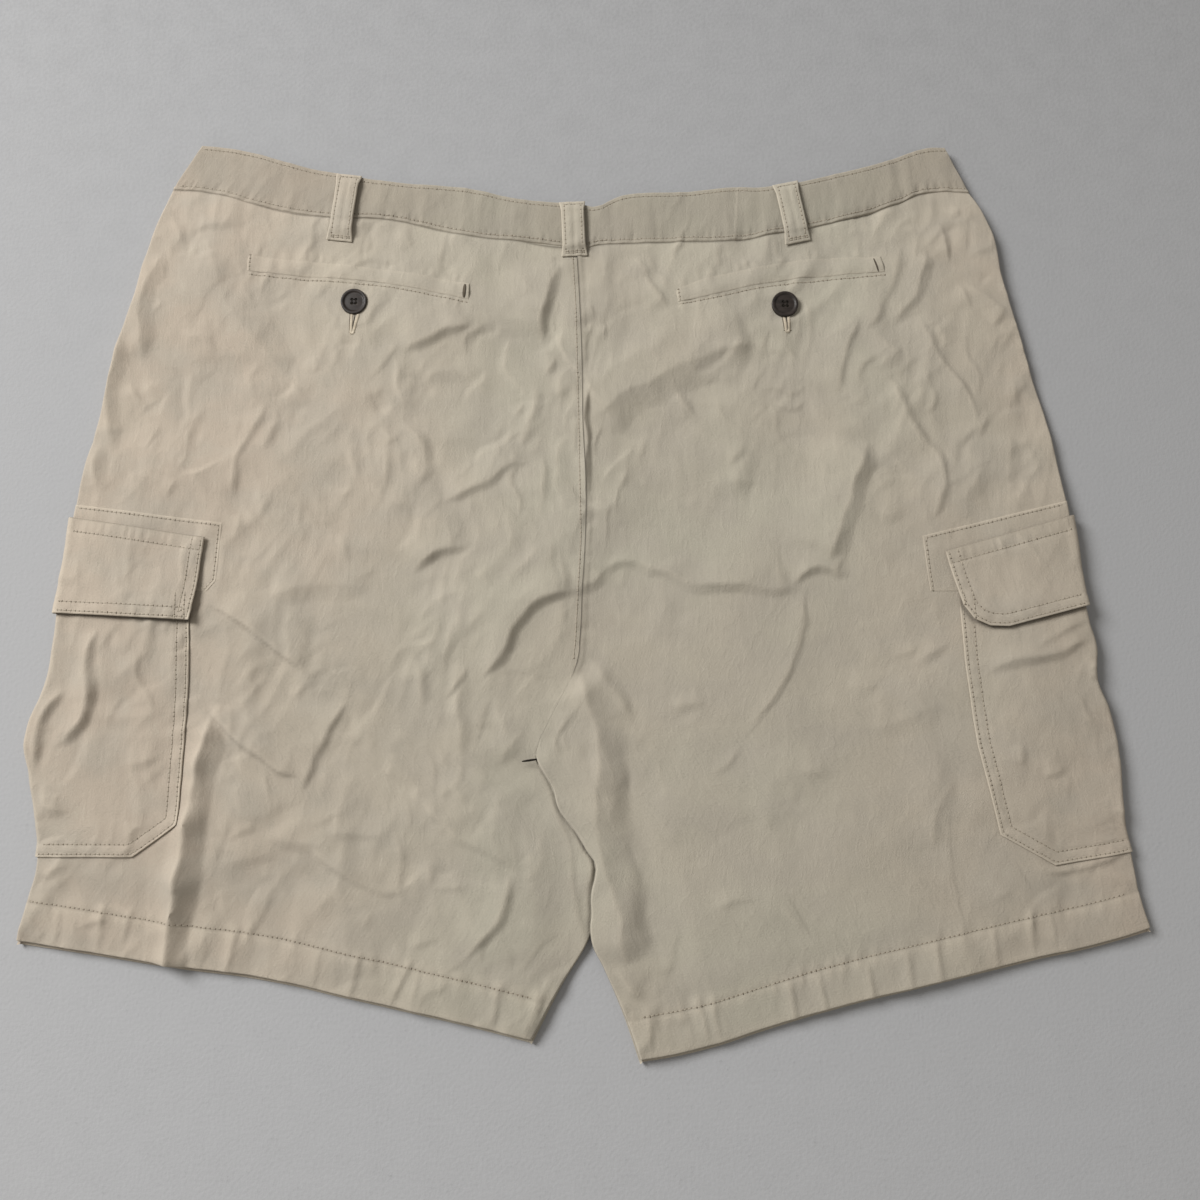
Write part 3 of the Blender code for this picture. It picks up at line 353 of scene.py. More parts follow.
def through(known, values, wanted):
    """A smooth curve through values at the rising or falling places known, read where wanted."""
    known, values = np.asarray(known, float), np.asarray(values, float)
    if known[0] > known[-1]:
        known, values = known[::-1], values[::-1]
    slopes = np.gradient(values, known)
    index = np.clip(np.searchsorted(known, wanted, side="right") - 1, 0, len(known) - 2)
    step = known[index + 1] - known[index]
    share = (wanted - known[index]) / step
    start = values[index] + slopes[index] * step * share
    end = values[index + 1] - slopes[index + 1] * step * (1.0 - share)
    blend = share * share * (3.0 - 2.0 * share)
    return start * (1.0 - blend) + end * blend


def along_x(points, wanted):
    return through([p[0] for p in points], [p[1] for p in points], wanted)


def along_y(points, wanted):
    return through([p[1] for p in points], [p[0] for p in points], wanted)


def lengths_along(path):
    """Distance of each point of a path from its first one."""
    steps = np.linalg.norm(np.diff(path, axis=0), axis=1)
    return np.concatenate([[0.0], np.cumsum(steps)])


def spaced(path, pitch, curved=True):
    """Points at an even pitch along a path, rounded through its points or straight between them."""
    path = np.asarray(path, float)
    if curved and len(path) > 2:
        known = lengths_along(path)
        fine = np.linspace(0.0, known[-1], max(3, 8 * len(path)))
        path = np.stack([through(known, column, fine) for column in path.T], -1)
    known = lengths_along(path)
    wanted = np.linspace(0.0, known[-1], max(2, int(round(known[-1] / pitch)) + 1))
    return np.stack([np.interp(wanted, known, column) for column in path.T], -1)


def beside(path, x, y):
    """Signed distance to a path, positive on its right, and the distance along it."""
    near = np.full(np.shape(x), np.inf)
    off, along = np.zeros(np.shape(x)), np.zeros(np.shape(x))
    start = 0.0
    for (px, py), (qx, qy) in zip(path, path[1:]):
        dx, dy = qx - px, qy - py
        length = math.hypot(dx, dy)
        share = ((x - px) * dx + (y - py) * dy) / length**2
        held = np.clip(share, 0.0, 1.0)
        apart = np.hypot(x - px - held * dx, y - py - held * dy)
        closer = apart < near
        side = np.sign((x - px) * dy - (y - py) * dx)
        near = np.where(closer, apart, near)
        off = np.where(closer, apart * side, off)
        along = np.where(closer, start + held * length, along)
        start += length
    return off, along, start


def outside(polygon, x, y):
    """How far a place lies outside an anticlockwise convex polygon; negative within it."""
    found = np.full(np.shape(x), -np.inf)
    for p, q in zip(polygon, polygon[1:] + polygon[:1]):
        length = math.hypot(q[0] - p[0], q[1] - p[1])
        found = np.maximum(found, ((x - p[0]) * (q[1] - p[1]) - (y - p[1]) * (q[0] - p[0])) / length)
    return found


def bell(off, width):
    """1 on a line and less beside it, down to about a third at width."""
    return np.exp(-(off / width) ** 2)


def line_frame(start, end):
    """Length of a straight line, its direction and the direction to its right."""
    run = np.subtract(end, start)
    length = float(np.linalg.norm(run))
    toward = run / length
    return length, toward, np.array([toward[1], -toward[0]])


def stacked(xy, height):
    """Points in space from their places in the plane and their heights."""
    return np.concatenate([xy, height[..., None]], axis=2)


# Unevenness of cloth

NOISE_CELLS = 256
NOISE_SCALE = 1.6  # brings the hills' height to about 1
CREST_ROUNDING = 0.07
RIDGE_MEAN = 0.7


def noise(x, y, size, seed):
    """Smooth uneven ground between about -1 and 1, with hills about size across."""
    slopes = np.random.RandomState(seed).uniform(0.0, math.tau, (NOISE_CELLS, NOISE_CELLS))
    u, v = np.asarray(x, float) / size, np.asarray(y, float) / size
    column, row = np.floor(u).astype(int), np.floor(v).astype(int)
    u, v = u - column, v - row
    total = np.zeros(np.shape(u))
    for i in (0, 1):
        for j in (0, 1):
            angle = slopes[(row + j) % NOISE_CELLS, (column + i) % NOISE_CELLS]
            across, down = u - i, v - j
            share = (1.0 - smooth(0.0, 1.0, np.abs(across))) * (1.0 - smooth(0.0, 1.0, np.abs(down)))
            total += share * (np.cos(angle) * across + np.sin(angle) * down)
    return NOISE_SCALE * total


def ridges(x, y, size, seed):
    """Uneven ground with narrow rounded crests and broad hollows, 0 to 1."""
    return 1.0 - np.sqrt(noise(x, y, size, seed) ** 2 + CREST_ROUNDING**2)


def drawn(x, y, lean, length):
    """Places turned and drawn together, so that a pattern on them leans and lengthens."""
    along, across = x * math.cos(lean) + y * math.sin(lean), y * math.cos(lean) - x * math.sin(lean)
    return along / length, across


def wander(x, y, reach, size, seed):
    """The place, moved a little this way and that, so that nothing runs dead straight."""
    return x + reach * noise(x, y, size, seed), y + reach * noise(x, y, size, seed + 1)


def puckers(along, pitch, seed):
    """Uneven gathers along a seam, -1 to 1."""
    return noise(along, 0.37 * along, pitch, seed) + 0.5 * noise(along, 0.0 * along, 0.55 * pitch, seed + 1)


# Gathers beside a seam, and the dip that a stitched line draws in: both in mm, and least away from the line
Gathers = namedtuple("Gathers", "height pitch reach seed")
Dip = namedtuple("Dip", "depth width")


def gathers(kind, along, off, shift=0):
    return kind.height * puckers(along, kind.pitch, kind.seed + shift) * bell(off, kind.reach)


def dip(kind, off):
    return -kind.depth * bell(off, kind.width)


# One half of the shorts. Its inner edge is the centre seam and then the inseam.
Leg = namedtuple("Leg", "name sign inner side hem")
LEGS = {
    "left": Leg("left", -1, CENTRE_SEAM + INSEAM_LEFT, SIDE_LEFT, HEM_LEFT),
    "right": Leg("right", 1, CENTRE_SEAM + INSEAM_RIGHT, SIDE_RIGHT, HEM_RIGHT),
}

# A piece that wraps round a side: the path of its inner edge from its top corner to its lower one, and Y of
# its upper and lower edge where they reach the side
Wrap = namedtuple("Wrap", "inner side_top side_bottom")
FACINGS = {
    "left": Wrap(((-238, 34), (-240, -5), (-246, -11.7)), 46.5, -11.7),
    "right": Wrap(((226, 25.4), (227.5, 6), (229.6, -11.7)), 49.0, -11.7),
}
POCKETS = {
    "left": Wrap(((-256.5, -12.3), (-254.3, -70), (-256, -162), (-284, -182.4)), -12.3, -182.4),
    "right": Wrap(((248, -12.3), (250, -62), (255, -112), (267, -168.6), (301, -187.5)), -12.3, -179.0),
}
FLAPS = {
    "left": Wrap(((-248, 24), (-250, 9), (-251.5, -9), (-254.4, -31.3)), 37.5, -26.8),
    "right": Wrap(
        ((239.7, 14.9), (244.9, -5), (249.5, -21.3), (256, -30.5), (266, -35), (278, -35.5)), 38.6, -22.0
    ),
}
PLAN_TO, PLAN_RUN = 420.0, 90.0  # a wrapping piece's plan runs on this far, at its upper edge's slope
FRONT_LOOPS = {"left": -118.0, "right": 108.0}
LOOP_WIDTH = 18.0
FRONT_LOOP_END = 206.0
FRONT_BUTTON = Point(-4, 231)
BUTTON_RADIUS = 9.0
WAIST_SEAM = [(row.seam_x, row.seam_y) for row in WAISTBAND]


def band_point(share):
    """Seam and top of the waistband; share runs from 0 at the left side to 1 at the right one."""
    rows = np.linspace(0.0, 1.0, len(WAISTBAND))
    return [through(rows, column, share) for column in zip(*WAISTBAND)]


def front_dip(x):
    """How much lower the front waistline lies than the back one."""
    centre = WAISTBAND[CENTRE].seam_x
    side = np.where(x < centre, WAISTBAND[0].seam_x, WAISTBAND[-1].seam_x)
    return FRONT_DIP * np.clip(1.0 - ((x - centre) / (side - centre)) ** 2, 0.0, 1.0)


def crossing(x, y, reach):
    """1 where the legs cross below the crotch, easing to 0 beside it."""
    off, _, _ = beside(CROSSING, x, y)
    return smooth(3.0 * reach, reach, np.abs(off)) * smooth(*CROSSING_STARTS, y)


def raised(beyond):
    """1 over a piece underneath, easing to 0 beyond it."""
    return smooth(PAST_PIECE, UNDER_PIECE, beyond)


def wrap_plan(wrap, sign):
    """The plan of a wrapping piece, anticlockwise and running past the side."""
    far = sign * PLAN_TO
    slope = (wrap.side_top - wrap.inner[0][1]) / PLAN_RUN
    top = (far, wrap.inner[0][1] + slope * (abs(far) - abs(wrap.inner[0][0])))
    plan_points = list(wrap.inner) + [(far, wrap.inner[-1][1]), top]
    return plan_points[::-1] if sign < 0 else plan_points


def floor_lift(leg, x, y):
    """Height of the front layer's outer face: on the surface, or over what lies under it."""
    lift = np.zeros(np.shape(x))
    for name in ("left", "right"):
        sign = LEGS[name].sign
        worn = np.minimum(
            outside(wrap_plan(POCKETS[name], sign), x, y), outside(wrap_plan(FACINGS[name], sign), x, y)
        )
        lift += POCKET_STACK * raised(worn)
        lift += FLAP_STACK * raised(outside(wrap_plan(FLAPS[name], sign), x, y))
        beside_loop = np.abs(x - FRONT_LOOPS[name]) - LOOP_WIDTH / 2.0
        lift = np.maximum(lift, LOOP_STACK * raised(np.maximum(beside_loop, FRONT_LOOP_END - y)))
    from_button = np.hypot(x - FRONT_BUTTON.x, y - FRONT_BUTTON.y) - BUTTON_RADIUS
    lift = np.maximum(lift, BUTTON_STACK * raised(from_button))
    if leg.sign > 0:
        lift = np.maximum(lift, CROSSING_LIFT * crossing(x, y, LIFTED_REACH))
    return lift + THREAD_ROOM


CREST_BESIDE_LINE = 1.0  # share of the right flank's width
RIGHT_REACH = 2.1  # the right flank runs straight down over this many of its widths and ends in a corner
RIGHT_POWER = 1.15
CREASE_POWER = 1.25
CREASE_RISE, CREASE_NARROWS = 1.1, 0.62  # the main creases lie lower and turn sharper than their rows say
UNEVEN_SHARE, UNEVEN_LENGTH, UNEVEN_WIDTHS = 0.3, 11.0, 1.3  # how much a crease swells, over what length
UNEVEN_SEED = 63
END_SHARE, END_REACH = 0.42, 18.0  # a crease sinks and narrows over this much of its ends
END_WIDTH = 0.4
CREASE_REACH = 3.0  # flank widths past which a crease adds nothing
PATH_PITCH = 6.0
MEETING = 2.5  # creases that meet don't pile up: 1 would add their heights, and more holds to the highest


def crease_height(crease, x, y):
    path = spaced(crease.path, PATH_PITCH)
    off, along, length = beside(path, x, y)
    off = off + CREST_BESIDE_LINE * crease.right
    width = np.where(off > 0.0, crease.right, crease.left)
    beyond_start = (x - path[0][0]) * (path[1][0] - path[0][0]) + (y - path[0][1]) * (path[1][1] - path[0][1])
    soften = min(length * END_SHARE, END_REACH)
    ends = smooth(0.0, soften, along) * smooth(length, length - soften, along)
    ends = np.where(beyond_start < 0.0, 0.0, ends)
    narrowed = width * (END_WIDTH + (1.0 - END_WIDTH) * ends)
    swell = max(UNEVEN_LENGTH, UNEVEN_WIDTHS * (crease.left + crease.right))
    uneven = 1.0 + UNEVEN_SHARE * noise(along, along * 0.0 + path[0][0], swell, UNEVEN_SEED)
    steep = np.clip(1.0 - off / (RIGHT_REACH * narrowed), 0.0, 1.0) ** RIGHT_POWER
    gentle = np.exp(-(np.abs(off) / narrowed) ** CREASE_POWER)
    return crease.height * np.where(off > 0.0, steep, gentle) * ends * uneven


SMALL_CREASES = 760
SMALL_SEED = 29
SMALL_BOX = (-360.0, 360.0, -306.0, 268.0)
SMALL_LENGTH, SMALL_HEIGHT = (10.0, 50.0), (0.35, 1.35)
SMALL_FLANKS = ((4.0, 10.0), (1.5, 2.4))
SMALL_LEAN, SMALL_SPREAD = math.radians(62), math.radians(38)
SMALL_BEND = 0.1
TURNED_SHARE, SUNK_SHARE = 0.25, 0.2  # of the small creases: steep on the other side, or troughs
CALM_MIDDLE = Point(145, -110)  # the right leg lies smoother than the rest
CALM_REACH = (95.0, 250.0)
CALM_LEAST = 0.2


def calm(x, y):
    """How freely the cloth is crumpled: 1, and less on the right leg."""
    from_middle = np.hypot(x - CALM_MIDDLE.x, y - CALM_MIDDLE.y)
    return CALM_LEAST + (1.0 - CALM_LEAST) * smooth(*CALM_REACH, from_middle)


def small_creases():
    """Short creases set into the washed cloth all over, leaning mostly one way."""
    draw = np.random.RandomState(SMALL_SEED)
    made = []
    for _ in range(SMALL_CREASES):
        middle = np.array([draw.uniform(*SMALL_BOX[:2]), draw.uniform(*SMALL_BOX[2:])])
        lean, length = draw.normal(SMALL_LEAN, SMALL_SPREAD), draw.uniform(*SMALL_LENGTH)
        run = 0.5 * length * np.array([math.cos(lean), math.sin(lean)])
        square = np.array([run[1], -run[0]])
        aside = [square * draw.normal(0.0, 2.0 * SMALL_BEND) for _ in range(2)]
        height = draw.uniform(*SMALL_HEIGHT) * math.sqrt(length / SMALL_LENGTH[1]) * float(calm(*middle))
        left, right = (draw.uniform(*flank) for flank in SMALL_FLANKS)
        turned, sunk = draw.uniform(0.0, 1.0, 2)
        if turned < TURNED_SHARE:
            left, right = right, left
        if sunk < SUNK_SHARE:
            height = -height
        made.append(Crease(height, left, right, (
            middle - run, middle - run / 3.0 + aside[0], middle + run / 3.0 + aside[1], middle + run,
        )))
    return made


def creases(x, y):
    """Height of all the creases, each weighed only near its own line."""
    crests, troughs = np.zeros(np.shape(x)), np.zeros(np.shape(x))
    for crease in MAIN_CREASES + SMALL:
        reach = CREASE_REACH * max(crease.left, crease.right)
        path = np.array(crease.path, float)
        low, high = path.min(axis=0) - reach, path.max(axis=0) + reach
        near = (x > low[0]) & (x < high[0]) & (y > low[1]) & (y < high[1])
        if near.any():
            met = crests if crease.height > 0.0 else troughs
            met[near] += np.abs(crease_height(crease, x[near], y[near])) ** MEETING
    return crests ** (1.0 / MEETING) - troughs ** (1.0 / MEETING)


MAIN_CREASES = [
    crease._replace(height=CREASE_RISE * crease.height, right=CREASE_NARROWS * crease.right)
    for crease in CREASES
]
SMALL = small_creases()

# The soft dents of washed cotton: ridges drawn out along a lean
Dents = namedtuple("Dents", "height lean stretch size seed")
LEAN, CROSS_LEAN = math.radians(64), math.radians(-24)
MIDDLE_DENTS = Dents(2.0, LEAN, 1.9, 30.0, 7)
SMALL_DENTS = Dents(0.8, LEAN + 0.3, 2.0, 13.0, 9)
CROSS_DENTS = Dents(1.1, CROSS_LEAN, 2.2, 24.0, 15)
LONG_SWELLS = Dents(0.8, LEAN, 1.6, 38.0, 17)
BROAD, BROAD_SIZE, BROAD_SEED = 1.9, 84.0, 5
FINE, FINE_SIZE, FINE_SEED = 0.08, 8.0, 13
DENTS_WANDER = (9.0, 46.0, 11)  # reach, size and seed
PATCH_MEAN, PATCH_SWING, PATCH_SIZE, PATCH_SEED = 0.7, 0.9, 90.0, 3
PATCH_RANGE, PATCH_SUM = (0.1, 1.4), 1.5  # dents across the lean grow where the others fade


def dents(kind, x, y):
    place = drawn(x, y, kind.lean, kind.stretch)
    return kind.height * (ridges(*place, kind.size, kind.seed) - RIDGE_MEAN)


def crumple(x, y):
    """The small soft dents of washed cotton."""
    x, y = wander(x, y, *DENTS_WANDER)
    patchy = np.clip(PATCH_MEAN + PATCH_SWING * noise(x, y, PATCH_SIZE, PATCH_SEED), *PATCH_RANGE)
    swells = drawn(x, y, LONG_SWELLS.lean, LONG_SWELLS.stretch)
    broad = BROAD * noise(x, y, BROAD_SIZE, BROAD_SEED)
    broad = broad + LONG_SWELLS.height * noise(*swells, LONG_SWELLS.size, LONG_SWELLS.seed)
    along = patchy * (dents(MIDDLE_DENTS, x, y) + dents(SMALL_DENTS, x, y))
    crossed = (PATCH_SUM - patchy) * dents(CROSS_DENTS, x, y)
    return broad + calm(x, y) * (along + crossed) + FINE * noise(x, y, FINE_SIZE, FINE_SEED)


TOPSTITCH_OFF = 2.6  # the centre seam's topstitching, on its left
FELLED_RISE, FELLED_STRIP = 0.8, (-5.2, -2.0)
SEAM_DITCH, DITCH_WIDTH = 0.25, 2.2
CENTRE_GATHERS, CENTRE_DIP = Gathers(0.5, 9.0, 5.5, 21), Dip(0.12, 1.3)


def centre_seam_relief(x, y):
    """The felled centre seam: a ditch on the line and a puckered double strip on its left."""
    off, along, _ = beside(spaced(CENTRE_SEAM, PATH_PITCH), x, y)
    strip = FELLED_RISE * (smooth(*FELLED_STRIP, off) * (off <= 0.0))
    sewn = gathers(CENTRE_GATHERS, along, off + TOPSTITCH_OFF)
    ditch = -SEAM_DITCH * bell(np.maximum(off, 0.0), DITCH_WIDTH) * (off > 0.0)
    return (strip + sewn + dip(CENTRE_DIP, off + TOPSTITCH_OFF) + ditch) * smooth(SEAM_FADES, SEAM_SHOWS, y)


HEM_RISE, HEM_STEP = 0.4, (1.5, -2.0)  # the doubled hem rises between these distances over its stitching
HEM_DIP = Dip(0.25, 1.8)
HEM_GATHERS, HEM_REACH = Gathers(0.6, 8.0, 1.0, 31), (5.0, 9.0)  # over its stitching and under it
FLUTTER, FLUTTER_SIZE, FLUTTER_SEED, FLUTTER_TO = 0.3, 34.0, 35, 30.0


def hem_relief(leg, x, y):
    """The turned-up hem: a dip along its stitching, gathers beside that, and tucks down to the edge."""
    above = y - along_x(leg.hem, x)
    off = above - HEM_STITCHING
    total = HEM_RISE * smooth(*HEM_STEP, off) + dip(HEM_DIP, off)
    total = total + gathers(HEM_GATHERS, x, off / np.where(off > 0, *HEM_REACH), leg.sign)
    flutter = FLUTTER * noise(x, 0.0 * x, FLUTTER_SIZE, FLUTTER_SEED + leg.sign)
    total = total + flutter * smooth(FLUTTER_TO, 0.0, above)
    for tuck in TUCKS:
        near = (np.abs(x - tuck.x) < TUCK_REACH) & (np.abs(off) < 2.0 * TUCK_LENGTH)
        if not near.any():
            continue
        down = (tuck.y - y[near]) / TUCK_LENGTH
        across = x[near] - tuck.x - tuck.lean * down
        width = np.where(across > 0.0, TUCK_FLANKS[1], TUCK_FLANKS[0])
        ends = smooth(*TUCK_STARTS, down) * smooth(*TUCK_ENDS, down)
        total[near] += TUCK_RISE * tuck.height * bell(across, width) * ends
    return total


def waist_seam(x):
    """Y of the waistband's seam."""
    return along_x(WAIST_SEAM, np.clip(x, WAIST_SEAM[0][0], WAIST_SEAM[-1][0]))


WAIST_GATHERS, WAIST_DIP, WAIST_REACH = Gathers(0.3, 11.0, 9.0, 41), Dip(0.35, 3.0), 80.0


def waist_relief(x, y):
    """Just under the waistband the panels are drawn in a little by its seam."""
    below = waist_seam(x) - y
    return gathers(WAIST_GATHERS, x, np.clip(below, 0.0, WAIST_REACH)) + dip(WAIST_DIP, below)


# The short seams between the waistband and the welts
DARTS = (
    ((-149, 239), (-150.4, 226), (-151.3, 216)),
    ((130.9, 234.6), (131.6, 226), (132.1, 217)),
)
DART_DIP, DART_GATHERS = Dip(0.3, 1.3), Gathers(0.1, 7.0, 4.0, 50)
DART_RISE, DART_STEP, DART_REACH = 0.3, (0.0, -1.0), 6.0  # the cloth stands higher on a dart's left
DART_PAST, DART_EASE = 0.1, 2.0


def dart_relief(x, y):
    total = np.zeros(np.shape(x))
    for number, path in enumerate(DARTS):
        off, along, length = beside(path, x, y)
        ends = smooth(-DART_PAST, DART_EASE, along) * smooth(length + DART_PAST, length - DART_EASE, along)
        line = dip(DART_DIP, off) + DART_RISE * smooth(*DART_STEP, off) * bell(off, DART_REACH)
        total += (line + gathers(DART_GATHERS, along, off, number)) * ends
    return total


def welt_line(name, share):
    """A line along a welt: share 0 is its lower edge and 1 its upper one."""
    return [
        (row.near_x * (1 - share) + row.far_x * share, row.near_y * (1 - share) + row.far_y * share)
        for row in WELTS[name]
    ]


WELT_GATHERS, WELT_DIP = Gathers(0.55, 5.0, 5.0, 45), Dip(0.35, 1.2)
UPPER_SHIFT = 2  # the upper edge's gathers are drawn from a seed this much higher
WELT_ROW = 2.1  # from the welt's lower edge down to its stitching on the panel
GATHERS_FROM, GATHERS_EASE = 1.0, (-1.0, 1.5)  # distances from the welt's edge
WELT_PAST, WELT_SPAN = 6.0, (170.0, 236.0)  # how far past its ends a welt is felt, and between which Y


def welt_relief(x, y):
    """Fine gathers beside the welts' edges, and the dip that their stitching draws in."""
    total = np.zeros(np.shape(x))
    for name, strips in WELTS.items():
        near = (x > strips[0].near_x - WELT_PAST) & (x < strips[-1].near_x + WELT_PAST)
        near &= (y > WELT_SPAN[0]) & (y < WELT_SPAN[1])
        if not near.any():
            continue
        for upper in (0, 1):
            off, along, _ = beside(welt_line(name, upper), x[near], y[near])
            apart = -off if upper else off
            sewn = gathers(WELT_GATHERS, along, apart - GATHERS_FROM, UPPER_SHIFT * upper)
            total[near] += sewn * smooth(*GATHERS_EASE, apart) + dip(WELT_DIP, apart - WELT_ROW) * (1 - upper)
    return total


def rest_on(height, least):
    """A height that settles gently on the least it can be."""
    return 0.5 * (height + least + np.sqrt((height - least) ** 2 + SETTLING**2))


BAND_STIFFENS, BAND_EASE = 0.55, (-3.0, 6.0)  # share of the relief that the doubled waistband takes away
BACK_WANDER = (1.6, 17.0, 61)
CROSSING_SHARE = 0.85  # how nearly a leg comes to its height at the crossing
CROSSING_CALMS, COVER_CALMS, COVER_EASE = 0.3, 0.65, (-3.0, 1.0)  # and how much of its relief it loses


def back_height(leg, x, y):
    """Height of the back layer's upper face, before it turns round its edges."""
    floor = floor_lift(leg, x, y)
    crossed = SQUASHED if leg.sign < 0 else CROSSING_LIFT + SQUASHED
    share = crossing(x, y, LIFTED_REACH if leg.sign > 0 else SQUASHED_REACH)
    covered = smooth(*COVER_EASE, x - along_y(INSEAM_RIGHT, y)) if leg.sign < 0 else 0.0
    level = (LOFT + CARRIED * floor) * (1.0 - CROSSING_SHARE * share) + crossed * CROSSING_SHARE * share
    relief = creases(*wander(x, y, *BACK_WANDER)) + crumple(x, y)
    relief = relief * (1.0 - share * (CROSSING_CALMS + COVER_CALMS * covered))
    relief = relief * (1.0 - BAND_STIFFENS * smooth(*BAND_EASE, y - waist_seam(x)))
    height = level + relief + centre_seam_relief(x, y) + hem_relief(leg, x, y)
    height = height + waist_relief(x, y) + dart_relief(x, y) + welt_relief(x, y)
    return rest_on(height, floor + 2.0 * WALL + INNER_GAP)


def plan(leg, across, down):
    """Place of a point of the leg seen from above: across from the centre to the side, down to the hem."""
    side_share = (leg.sign + 1) / 2.0
    hem_x = leg.hem[0].x + across * (leg.hem[-1].x - leg.hem[0].x)
    inner_y = leg.inner[0].y + down * (leg.inner[-1].y - leg.inner[0].y)
    side_y = leg.side[0].y + down * (leg.side[-1].y - leg.side[0].y)
    waist = np.stack(band_point(CENTRE_SHARE + across * (side_share - CENTRE_SHARE))[:2], -1)
    hem = np.stack([hem_x, along_x(leg.hem, hem_x)], -1)
    inner = np.stack([along_y(leg.inner, inner_y), inner_y], -1)
    side = np.stack([along_y(leg.side, side_y), side_y], -1)
    a, d = across[..., None], down[..., None]
    corners = (1.0 - a) * (1.0 - d) * np.array(leg.inner[0]) + a * (1.0 - d) * np.array(leg.side[0])
    corners += (1.0 - a) * d * np.array(leg.inner[-1]) + a * d * np.array(leg.side[-1])
    placed = (1.0 - d) * waist + d * hem + (1.0 - a) * inner + a * side - corners
    placed[..., 0] += leg.sign * 0.5 * SEAM_GAP * (1.0 - across)
    return placed


# Meshes

SMOOTH_ANGLE = math.radians(65)


def clear_selection():
    bpy.ops.object.select_all(action="DESELECT")


def make_active(made):
    clear_selection()
    made.select_set(True)
    bpy.context.view_layer.objects.active = made


def apply_modifier(made, modifier):
    make_active(made)
    bpy.ops.object.modifier_apply(modifier=modifier.name)


def to_frame(points):
    """Metres in the frame, from millimetres in the tables' plane."""
    moved = np.array(points, float)
    moved[..., 0] -= MIDDLE.x
    moved[..., 1] -= MIDDLE.y
    return moved * MM


def facing_up(grid):
    """Whether the first cells of a grid of points look up."""
    across, down = grid[:-1, 1:] - grid[:-1, :-1], grid[1:, :-1] - grid[:-1, :-1]
    return float(np.cross(across, down)[:, : max(1, grid.shape[1] // 3), 2].sum()) > 0.0


def lay_threads(mesh, layer, cloth):
    """Stores the cloth's own thread directions, in metres, as a UV map."""
    corners = np.empty(len(mesh.loops), np.int32)
    mesh.loops.foreach_get("vertex_index", corners)
    layer.data.foreach_set("uv", (cloth.reshape(-1, 2) * MM)[corners].reshape(-1).astype(np.float32))


def paint(mesh, **layers):
    """Stores values of the points under their names."""
    for label, values in layers.items():
        layer = mesh.attributes.new(label, "FLOAT", "POINT")
        if values is not None:
            layer.data.foreach_set("value", np.asarray(values, np.float32).reshape(-1))


def sheet_mesh(name, grid, cloth, up=True, wear=None, shade=None):
    """A cloth surface over a grid of points, with its thread directions as UV, and as attributes its paler
    tone (rubbing and painted highlight) and its painted shade.
    """
    if facing_up(grid) != up:
        grid, cloth = grid[:, ::-1], cloth[:, ::-1]
        wear = None if wear is None else wear[:, ::-1]
        shade = None if shade is None else shade[:, ::-1]
    rows, columns = grid.shape[:2]
    clear_selection()
    bpy.ops.mesh.primitive_grid_add(x_subdivisions=columns - 1, y_subdivisions=rows - 1, size=1.0)
    made = bpy.context.object
    made.name = made.data.name = name
    made.data.vertices.foreach_set("co", to_frame(grid).reshape(-1).astype(np.float32))
    lay_threads(made.data, made.data.uv_layers.active, cloth)
    paint(made.data, wear=wear, shade=shade)
    made.data.update()
    return made


def give_wall(made, wall, thin):
    """Gives a sheet its thickness inwards; thin holds each point's share of the wall."""
    solid = made.modifiers.new("Cloth", "SOLIDIFY")
    solid.thickness = wall * MM
    solid.offset = -1.0
    group = made.vertex_groups.new(name="wall")
    for level in np.unique(np.round(thin, 2)):
        members = np.nonzero(np.round(thin.reshape(-1), 2) == level)[0]
        group.add([int(index) for index in members], float(level), "REPLACE")
    solid.vertex_group = group.name
    apply_modifier(made, solid)
    made.vertex_groups.clear()
    bpy.ops.object.shade_smooth_by_angle(angle=SMOOTH_ANGLE)


def hold_above_floor(made):
    """Keeps every point of a wrapping piece above the surface the garment lies on."""
    vertices = made.data.vertices
    places = np.empty(3 * len(vertices), np.float32)
    vertices.foreach_get("co", places)
    places[2::3] = np.maximum(places[2::3], WRAP_LEAST * MM)
    vertices.foreach_set("co", places)
    made.data.update()


INNER_STEP = 3  # the inside of a back panel's wall keeps every third row and column of its outside


def kept_places(count):
    """Every INNER_STEP-th place of a row, and its last one."""
    kept = list(range(0, count - 1, INNER_STEP))
    return kept + [count - 1]


